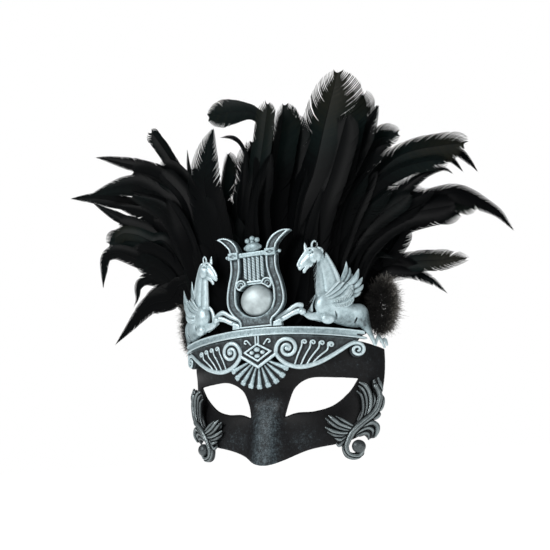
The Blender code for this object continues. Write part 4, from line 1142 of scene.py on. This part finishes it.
def shell_outline():
    """Outline of the shell in (u, z), clockwise from the middle of the top edge."""
    def lower(u, share):
        return LOW_EDGE - NOSE_DROP * bell(u, 0.0, 24.0) + CORNER_RISE * share

    side = []
    for t in np.linspace(0.0, 1.0, 30):
        reach = SHELL_REACH - (SHELL_REACH - CORNER_REACH) * t ** 2.2
        side.append((reach, (SHELL_TOP - SHELL_TOP_DROP) * (1.0 - t) + lower(CORNER_REACH, 1.0) * t))
    top = [(SHELL_REACH * s, SHELL_TOP - SHELL_TOP_DROP * s ** 2) for s in np.linspace(0.0, 1.0, 20)[:-1]]
    under = [(CORNER_REACH * s, lower(CORNER_REACH * s, s ** 6)) for s in np.linspace(1.0, 0.0, 40)[1:]]
    right = top + side + under
    return right + [(-u, z) for u, z in reversed(right[1:-1])]


def make_shell():
    """The moulded half mask, rubbed grey on the nose, the cheeks and the brow."""
    clay = Clay((-94, -9, -47), (94, 12, 49), 0.62)
    u, z = clay.plane()
    outline = polygon_distance(u, z, shell_outline())[:, None, :]
    front = skin(u, z)[:, None, :]
    n = clay.axes[1][None, :, None]
    wall = np.abs(n - front + SHELL_THICKNESS / 2) - SHELL_THICKNESS / 2
    reach = np.abs(clay.axes[0])
    x = np.interp(reach, BROW_U, BROW_X)[:, None] + clay.axes[1][None, :] * np.interp(reach, BROW_U,
                                                                                      BROW_TY)[:, None]
    eye = np.vstack([smooth_path([(a, 0, b, 0) for a, b in edge], 1.5)[:-1, [0, 2]]
                     for edge in (EYE_UPPER, EYE_LOWER)])
    columns = 260
    grid_x = np.linspace(0.0, EYE_GRID_REACH, columns, dtype=np.float32)
    away = polygon_distance(grid_x[:, None], clay.axes[2][None, :], eye)
    spot = np.clip(x / EYE_GRID_REACH * (columns - 1.0), 0, columns - 1.01)
    base = spot.astype(int)
    share = (spot - base)[:, :, None]
    opening = away[base] * (1 - share) + away[base + 1] * share
    shape = -soft_min(-wall, -outline, 1.2)
    clay.field = (-soft_min(-shape, opening, 1.4)).astype(np.float32)

    def rubbed(flat, wear):
        u, z = flat[:, 0], flat[:, 2]
        nose = np.exp(-np.abs(u / 13.0) ** 3) * smooth_step(-z, -14.0, 6.0)
        cheek = 0.62 * bell(np.abs(u), 26.0, 16.0) * bell(z, -27.0, 10.0)
        brow = 0.42 * bell(np.abs(u), 50.0, 24.0) * bell(z, 22.0, 9.0) + 0.3 * bell(np.abs(u), 78.0, 9.0)
        outside = smooth_step(flat[:, 1] - skin(u, z), -1.2, -0.4)
        return (np.maximum(np.maximum(nose, cheek), brow) * 0.9 + 0.3 * (wear - 0.5)) * outside
    clay.cast(("mask_shell",), "shell", base=0.5, gain=0.5, radius=1.2, extra=rubbed,
              name="mask_shell_moulded")


# --- feathers -----------------------------------------------------------------------------

ROUND, POINTED, BLUNT, LEAF, PADDLE = "round", "pointed", "blunt", "leaf", "paddle"

# How long the end of each shape is, as a multiple of its half width, and the two powers of its taper.
END_FORM = {ROUND: (1.25, 2.2, 0.5), BLUNT: (0.9, 2.0, 0.5), LEAF: (2.6, 1.9, 0.8), POINTED: (7.0, 1.5, 1.0),
            PADDLE: (1.7, 2.0, 0.5)}

# Main feathers: name number, quill points (x, z) from root to tip, half width, shape, depth layer,
# roll in degrees, tone at the root and at the tip; a high tip tone is painted sheen and painted light through
# the barbs.
MAIN_FEATHERS = [
    (1, [(-52, 32), (-79, 89), (-96, 84), (-114, 82), (-127, 74), (-139, 64), (-153, 52)], 9, POINTED, 0.4,
     10, 0.12, 0.3),
    (2, [(-50, 32), (-103, 107), (-116, 115), (-132, 123), (-146, 128), (-157, 125), (-161, 114), (-164,
     100)], 8, POINTED, 1.2, 0, 0.15, 0.35),
    (3, [(-47, 32), (-94, 119), (-117, 131), (-134, 138), (-146, 139), (-156, 136)], 9, BLUNT, 2.2, 15,
     0.15, 0.5),
    (4, [(-45, 32), (-88, 125), (-110, 139), (-127, 147), (-140, 152), (-145, 154)], 8, BLUNT, 3, -10, 0.1,
     0.3),
    (5, [(-42, 32), (-89, 135), (-111, 155), (-133, 168), (-157, 176), (-180, 182), (-206, 186)], 6.5,
     POINTED, 4, 20, 0.1, 0.35),
    (6, [(-40, 32), (-70, 139), (-92, 162), (-113, 178), (-129, 182), (-142, 182), (-154, 181), (-170,
     179)], 9.5, POINTED, 0.2, 0, 0.12, 0.4),
    (7, [(-37, 32), (-67, 144), (-85, 170), (-101, 183), (-114, 189), (-124, 192)], 10.5, ROUND, 1, 12,
     0.1, 0.25),
    (8, [(-33, 32), (-65, 147), (-82, 173), (-100, 188), (-120, 197), (-139, 204), (-155, 210), (-166,
     213)], 6.5, POINTED, 2, -8, 0.1, 0.25),
    (9, [(-28, 32), (-63, 151), (-77, 174), (-89, 194), (-99, 210), (-111, 227)], 7.5, BLUNT, 3, 25, 0.12,
     0.35),
    (10, [(-24, 32), (-61, 148), (-67, 170), (-72, 189)], 12, ROUND, 3.9, 0, 0.1, 0.2),
    (11, [(-20, 32), (-40, 140), (-44, 164), (-39, 186), (-31, 205)], 18.5, LEAF, 0.4, 10, 0.12, 0.42),
    (12, [(-16, 32), (-51, 138), (-66, 158), (-86, 172), (-103, 179)], 14, BLUNT, 4.6, 0, 0.1, 0.2),
    (13, [(-10, 32), (-7, 137), (1, 166), (6, 185), (6, 200), (1, 210), (-7, 217), (-18, 220), (-34, 222),
     (-50, 223)], 11, PADDLE, 2.8, 6, 0.1, 0.52),
    (14, [(-5, 32), (-5, 139), (3, 168), (8, 189), (14, 217)], 10, BLUNT, 1, 15, 0.1, 0.6),
    (15, [(0, 32), (6, 138), (14, 174), (19, 196), (23, 217)], 15, ROUND, 1.9, -12, 0.1, 0.55),
    (16, [(8, 32), (16, 138), (24, 167), (29, 190), (30, 207)], 13, ROUND, 3.6, 10, 0.1, 0.35),
    (17, [(14, 32), (32, 126), (45, 161), (55, 196), (66, 233)], 31, ROUND, 1, -6, 0.1, 0.7),
    (18, [(20, 32), (47, 121), (62, 152), (77, 179), (93, 203)], 13.5, LEAF, 0.6, 14, 0.1, 0.3),
    (19, [(26, 32), (51, 121), (63, 149), (76, 169), (90, 180), (105, 181)], 11, ROUND, 2, 8, 0.12, 0.5),
    (20, [(31, 32), (58, 117), (77, 144), (97, 161), (114, 166), (131, 166), (145, 165), (151, 163)], 13,
     ROUND, 1.5, -10, 0.1, 0.66),
    (21, [(35, 32), (61, 109), (81, 125), (102, 138), (116, 146), (125, 149), (135, 149), (141, 144)], 8.5,
     POINTED, 1, 0, 0.12, 0.3),
    (22, [(39, 32), (65, 110), (84, 126), (101, 134), (117, 137)], 9, ROUND, 3, 16, 0.1, 0.3),
    (23, [(42, 32), (71, 105), (90, 119), (106, 126), (123, 130), (139, 131), (149, 127), (158, 121), (167,
     114), (172, 107), (176, 101)], 8, POINTED, 0.8, 4, 0.1, 0.3),
    (24, [(45, 32), (70, 102), (87, 112), (103, 118), (114, 120), (126, 121), (136, 120), (141, 119)], 8,
     ROUND, 2.4, -14, 0.12, 0.35),
    (25, [(48, 32), (72, 93), (85, 92), (94, 90), (111, 90), (122, 89), (132, 89), (143, 88)], 8, LEAF,
     1.6, 10, 0.15, 0.74),
    (26, [(51, 32), (72, 90), (83, 89), (93, 88), (106, 82), (117, 75), (126, 66)], 8, POINTED, 3, 0, 0.12,
     0.42),
    (27, [(54, 32), (69, 95), (76, 110), (86, 127), (94, 140)], 14, ROUND, 4.6, 5, 0.1, 0.25),
]

# Loose extra feathers that stand out of the fan: parent number and the same fields as above.
LOOSE_FEATHERS = [
    (1, [(-58, 44), (-88, 90), (-100, 92), (-112, 91), (-122, 85), (-130, 75), (-138, 68)], 6, POINTED,
     2.4, 6, 0.12, 0.3),
    (1, [(-60, 44), (-96, 97), (-107, 101), (-119, 103), (-128, 98), (-131, 88), (-136, 82)], 7, POINTED,
     1.6, 20, 0.15, 0.35),
    (2, [(-52, 40), (-100, 115), (-116, 122), (-134, 129), (-148, 132), (-158, 125), (-161, 114), (-164,
     103)], 4, POINTED, 2.4, -20, 0.2, 0.4),
    (3, [(-50, 40), (-88, 122), (-108, 132), (-122, 139), (-135, 142), (-145, 139)], 7, ROUND, 0.8, -12,
     0.2, 0.6),
    (5, [(-44, 40), (-94, 136), (-116, 145), (-131, 151), (-147, 159), (-161, 167), (-178, 177)], 5,
     POINTED, 3.2, 25, 0.1, 0.35),
    (6, [(-42, 40), (-83, 144), (-105, 166), (-122, 176), (-140, 180), (-157, 181), (-170, 182)], 5,
     POINTED, 1.8, 10, 0.12, 0.45),
    (8, [(-32, 40), (-56, 144), (-66, 166), (-81, 183), (-98, 192)], 9, ROUND, 1.2, 10, 0.1, 0.2),
    (9, [(-26, 60), (-65, 163), (-71, 185), (-72, 202)], 2.5, POINTED, 2.2, 0, 0.1, 0.3),
    (11, [(-18, 40), (-36, 143), (-33, 162), (-30, 176), (-28, 189)], 9, ROUND, 1.6, -15, 0.1, 0.55),
    (14, [(-8, 60), (-10, 144), (-8, 171), (-10, 185), (-15, 194), (-22, 198), (-30, 199)], 1.8, POINTED,
     1.8, 0, 0.1, 0.3),
    (14, [(-8, 32), (-15, 123), (-13, 149), (-8, 172), (-4, 193)], 15, ROUND, 2.6, 12, 0.1, 0.2),
    (15, [(4, 40), (6, 139), (17, 176), (22, 198), (25, 215)], 10, BLUNT, 3.4, 20, 0.1, 0.5),
    (17, [(18, 40), (45, 124), (59, 159), (72, 197)], 17, ROUND, 0.1, 12, 0.1, 0.25),
    (17, [(20, 40), (43, 126), (58, 165), (73, 203), (78, 218)], 13, ROUND, 2.4, 0, 0.1, 0.62),
    (19, [(30, 40), (60, 127), (73, 154), (88, 170), (101, 173)], 9, ROUND, 0.6, -10, 0.1, 0.3),
    (20, [(33, 40), (75, 138), (101, 152), (120, 157), (132, 160), (139, 156), (146, 146)], 4.5, POINTED,
     2.6, 10, 0.1, 0.3),
    (20, [(34, 40), (75, 142), (101, 156), (123, 161), (141, 162), (149, 155), (156, 144)], 4.5, POINTED,
     3, 10, 0.1, 0.3),
    (21, [(36, 40), (67, 119), (81, 140), (100, 152), (124, 155), (138, 153)], 7.5, ROUND, 0.2, -20, 0.1,
     0.5),
    (23, [(44, 40), (85, 116), (104, 123), (122, 126), (137, 126), (147, 122), (153, 120)], 6, ROUND, 2,
     -12, 0.15, 0.55),
    (24, [(48, 40), (73, 98), (87, 105), (99, 111), (108, 116)], 8, POINTED, 2.4, 10, 0.15, 0.35),
    (27, [(56, 44), (80, 88), (89, 98), (98, 108), (103, 117)], 9, ROUND, 1.2, -8, 0.15, 0.3),
    (26, [(57, 44), (79, 83), (86, 86), (93, 90), (100, 93)], 8, ROUND, 2, -8, 0.15, 0.3),
]

COMPANIONS = 6
LAYER_PITCH = 2.6
BARBS = 118
BARB_STATIONS = 5
BARB_OVERLAP = 0.62       # half the width of a barb strip, as a share of the pitch
VANE_TILT = 0.22          # radians that each side of a vane leans back
VANE_CUP = 0.16
QUILL_TONE = 0.12


def fan_depth(x, z):
    """Depth of the frontmost layer: it wraps the brow low down and flattens higher up."""
    side = 26.0 - 10.0 * smooth_step(z, 60.0, 140.0)
    return -2.0 + side * np.tanh(1.1 * (np.abs(x) / 70.0) ** 3)


def half_width(t, shape, stub):
    """Share of the full half width along the quill; stub is half width over length."""
    reach, power, root = END_FORM[shape]
    start = max(0.25, 1.0 - reach * stub)
    body = smooth_step(t, 0.03, 0.42) * 0.9 + 0.1
    if shape == PADDLE:
        body = 0.45 * body + 0.55 * smooth_step(t, start - 0.14, start + 0.02)
    over = np.clip((t - start) / (1.0 - start), 0.0, 1.0)
    return body * (1.0 - over ** power) ** root


class Quill:
    """The line of one quill in millimetres, read by the share of its length."""

    def __init__(self, spine, layer, curl):
        path = smooth_path([(x, 0.0, z, 0.0) for x, z in spine], 3.0)
        x, z = path[:, 0], path[:, 2]
        along = np.concatenate([[0.0], np.cumsum(np.hypot(np.diff(x), np.diff(z)))])
        self.length = along[-1]
        self.t = along / self.length
        y = (fan_depth(x, z) + layer * LAYER_PITCH + (layer - 1.6) * 3.4 * smooth_step(z, 55.0, 200.0)
             + curl * self.t ** 2.5)
        self.points = np.stack([x, y, z], 1)

    def read(self, share):
        return np.stack([np.interp(share, self.t, self.points[:, k]) for k in range(3)], -1)

    def at(self, share):
        """Place and direction; a share past either end goes straight on."""
        inner = np.clip(share, 0.0, 1.0)
        ahead = self.read(np.clip(inner + 0.01, 0, 1)) - self.read(np.clip(inner - 0.01, 0, 1))
        ahead /= np.linalg.norm(ahead, axis=-1, keepdims=True) + 1e-9
        return self.read(inner) + ahead * ((share - inner) * self.length)[..., None], ahead


def barb_strips(rng, quill, side, width, shape, roll, tone_root, tip_tone_and_painted_light):
    """Barbs on one side of a quill, in clumps that split from each other: points, quads, tones."""
    stub = width / quill.length
    start = np.linspace(0.07, 0.985, BARBS)
    clump = np.cumsum(rng.random(BARBS) < 0.05)
    lean = rng.normal(0.0, 1.0, clump.max() + 1)[clump] * 0.7
    cut = 1.0 - np.abs(rng.normal(0.0, 0.03, clump.max() + 1))[clump] - np.abs(rng.normal(0.0, 0.02, BARBS))
    lift = rng.normal(0.0, 0.12, clump.max() + 1)[clump] + rng.normal(0.0, 0.04, BARBS)
    lead = (2.0 + 0.95 * width * half_width(start, shape, stub)) / quill.length
    stop = start + (1.0 - start) * (1.0 - np.exp(-lead / np.maximum(1.0 - start, 0.02)))
    across = width * half_width(np.clip(stop, 0, 0.998), shape, stub) * cut
    across = np.where(start < 0.16, across * 0.8 + 1.5, across)
    pitch = (start[1] - start[0])
    q = np.linspace(0.0, 1.0, BARB_STATIONS)
    turn = math.radians(roll) + VANE_TILT * side
    rows = []
    for edge in (-BARB_OVERLAP, BARB_OVERLAP):
        s = (start[:, None] + edge * pitch * (1.0 - 0.35 * q[None, :] ** 2)
             + (stop - start)[:, None] * q[None, :] ** 1.35
             + (lean / quill.length)[:, None] * q[None, :] ** 2.2)
        v = across[:, None] * (1.0 - (1.0 - q[None, :]) ** 1.25)
        centre, ahead = quill.at(s)
        sideways = np.cross(ahead, np.array([0.0, -1.0, 0.0]))
        sideways /= np.linalg.norm(sideways, axis=-1, keepdims=True) + 1e-9
        outward = np.cross(sideways, ahead)
        flat = sideways * math.cos(turn) + outward * math.sin(turn) * side
        normal = outward * math.cos(turn) - sideways * math.sin(turn) * side
        cup = (-VANE_CUP * v ** 2 / max(width, 1.0) + lift[:, None] * q[None, :] + edge * 0.12)
        rows.append((centre + side * flat * v[..., None] + normal * cup[..., None]) * MM)
    # Painted light: tones rise towards the tip and the barb ends for sheen and light through the thin barbs;
    # the random part per barb is their own tone.
    ramp = tone_root + (tip_tone_and_painted_light - tone_root) * smooth_step(start, 0.45, 0.95)[:, None]
    barb_tone_and_backlight = 0.06 * q[None, :] ** 3 + rng.normal(0.0, 0.02, BARBS)[:, None]
    points = np.stack(rows, 2).reshape(-1, 3)
    return points, strip_quads(BARBS, BARB_STATIONS), np.repeat((ramp + barb_tone_and_backlight).ravel(), 2)


def feather_geometry(rng, spine, width, shape, layer, roll, tone_root, tip_tone_and_painted_light):
    """Quill tube and barb strips of one feather: points, quads, tone per point."""
    quill = Quill(spine, layer, rng.normal(0.0, 2.0))
    radii = np.interp(quill.t, [0.0, 0.5, 0.97, 1.0], [0.75, 0.45, 0.12, 0.03]) * MM
    stem_points, stem_quads = tube(quill.points * MM, radii, 5)
    made = [(stem_points, stem_quads, np.full(len(stem_points), QUILL_TONE))]
    for side in (-1.0, 1.0):
        made.append(barb_strips(rng, quill, side, width, shape, roll, tone_root, tip_tone_and_painted_light))
    points, quads = joined([(p, q) for p, q, _ in made])
    return points, quads, np.clip(np.concatenate([tones for _, _, tones in made]), 0.0, 1.0)


def companion(rng, fields):
    """A shorter neighbour of a main feather, to fill the fan."""
    number, spine, width, shape, layer, roll, tone_root, tip_tone_and_painted_light = fields
    share = rng.uniform(0.42, 0.8)
    path = smooth_path([(x, 0.0, z, 0.0) for x, z in spine], 4.0)
    path = path[:max(6, int(len(path) * share))]
    root = path[0, [0, 2]]
    angle = math.radians(rng.normal(0.0, 4.0))
    cos, sin = math.cos(angle), math.sin(angle)
    moved = []
    bend = rng.normal(0.0, 3.0)
    picks = np.linspace(0, len(path) - 1, 5).astype(int)
    for index, pick in enumerate(picks):
        dx, dz = path[pick, 0] - root[0], path[pick, 2] - root[1]
        grow = index / 4.0
        moved.append((root[0] + dx * cos - dz * sin + bend * grow ** 2 * 0.6, root[1] + dx * sin + dz * cos
                      - abs(bend) * grow ** 2 * 0.5))
    kind = (ROUND, LEAF, POINTED)[int(rng.integers(3))]
    depth = float(np.clip(layer + rng.normal(0, 1.3), 0, 5))
    return (number, moved, 5.0 + 0.6 * width * rng.uniform(0.8, 1.15), kind, depth,
            roll + rng.normal(0, 12.0), 0.1,
            rng.uniform(0.12, 0.4))


def make_feathers():
    """Each node becomes a bunch: its main feather, the loose ones beside it and shorter companions."""
    rng = np.random.default_rng(11)
    for fields in MAIN_FEATHERS:
        number = fields[0]
        group = [fields] + [loose for loose in LOOSE_FEATHERS if loose[0] == number]
        group += [companion(rng, fields) for _ in range(COMPANIONS)]
        made = [feather_geometry(rng, *row[1:]) for row in group]
        points, quads = joined([(p, q) for p, q, _ in made])
        tone = np.concatenate([tones for _, _, tones in made])
        name = "feather_%02d" % number
        add_piece(name + "_barbs", points, quads, "feather", (name,), {"tone": tone})


# --- marabou down -------------------------------------------------------------------------

DOWN_STRANDS = 7000
DOWN_LENGTH = (3.0, 6.0)
DOWN_HALF_WIDTH = 0.2
DOWN_STATIONS = 5

# side, name, seed, middle (x, z) of the tuft, its half width and half height
DOWN_TUFTS = ((1.0, "down_trim_right", 5, 83.0, 61.0, 8.5, 17.5),
              (-1.0, "down_trim_left", 6, 72.0, 57.0, 6.0, 16.0))


def make_down():
    """Fluffy tufts at both ends of the crest: thousands of fine curly barbs on short plumes."""
    for side, name, seed, out, high, wide, tall in DOWN_TUFTS:
        rng = np.random.default_rng(seed)
        count = DOWN_STRANDS
        angle = rng.uniform(0.0, 2.0 * math.pi, count)
        reach = np.sqrt(rng.random(count))
        root_x = out + wide * reach * np.cos(angle)
        root_z = high + tall * reach * np.sin(angle) + 0.5 * (root_x - out)
        depth = rng.uniform(-6.0, 4.0, count)
        away = np.stack([np.cos(angle) * 0.8 + 0.35, rng.normal(-0.25, 0.4, count),
                         np.sin(angle) * 0.5 - 0.1], 1)
        away += rng.normal(0.0, 0.35, away.shape)
        away /= np.linalg.norm(away, axis=1)[:, None]
        length = rng.uniform(*DOWN_LENGTH, count)
        bend = rng.normal(0.0, 0.35, away.shape)
        q = np.linspace(0.0, 1.0, DOWN_STATIONS)
        root = np.stack([root_x, fan_depth(root_x, root_z) + depth - 2.0, root_z], 1)
        line = (root[:, None, :] + away[:, None, :] * (length[:, None] * q)[..., None]
                + bend[:, None, :] * (length[:, None] * q ** 2)[..., None])
        across = np.cross(away, rng.normal(0.0, 1.0, away.shape))
        across /= np.linalg.norm(across, axis=1)[:, None]
        half = DOWN_HALF_WIDTH * (1.0 - 0.75 * q)
        offset = across[:, None, :] * half[None, :, None]
        rows = np.stack([line - offset, line + offset], 2)
        points = rows.reshape(-1, 3) * np.array([side, 1.0, 1.0]) * MM
        quads = strip_quads(count, DOWN_STATIONS)
        outer = smooth_step(reach + 0.25 * np.cos(angle), 0.55, 1.15)
        tone = np.clip(0.03 + (0.14 + 0.9 * outer[:, None]) * q[None, :] ** 1.3, 0, 1)
        add_piece(name + "_fluff", points, quads, "down", (name,), {"tone": np.repeat(tone.ravel(), 2)})


# --- felt ---------------------------------------------------------------------------------


def cover_felt():
    """The felt band and pads keep their modelled shape and get the felt look."""
    for name in ("feather_band", "tie_pad_left", "tie_pad_right"):
        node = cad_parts[name]
        node.data.materials.clear()
        node.data.materials.append(LOOKS["felt"])


def main():
    make_camera()
    make_world()
    make_lights()
    make_floor()
    make_shell()
    make_bar()
    make_frieze()
    make_diamond()
    make_fan()
    make_lyre_frame()
    make_yoke()
    make_tailpiece()
    make_finial()
    make_strings()
    make_dome()
    make_horses()
    make_near_wings()
    make_far_wings()
    make_acanthus()
    make_feathers()
    make_down()
    cover_felt()


main()
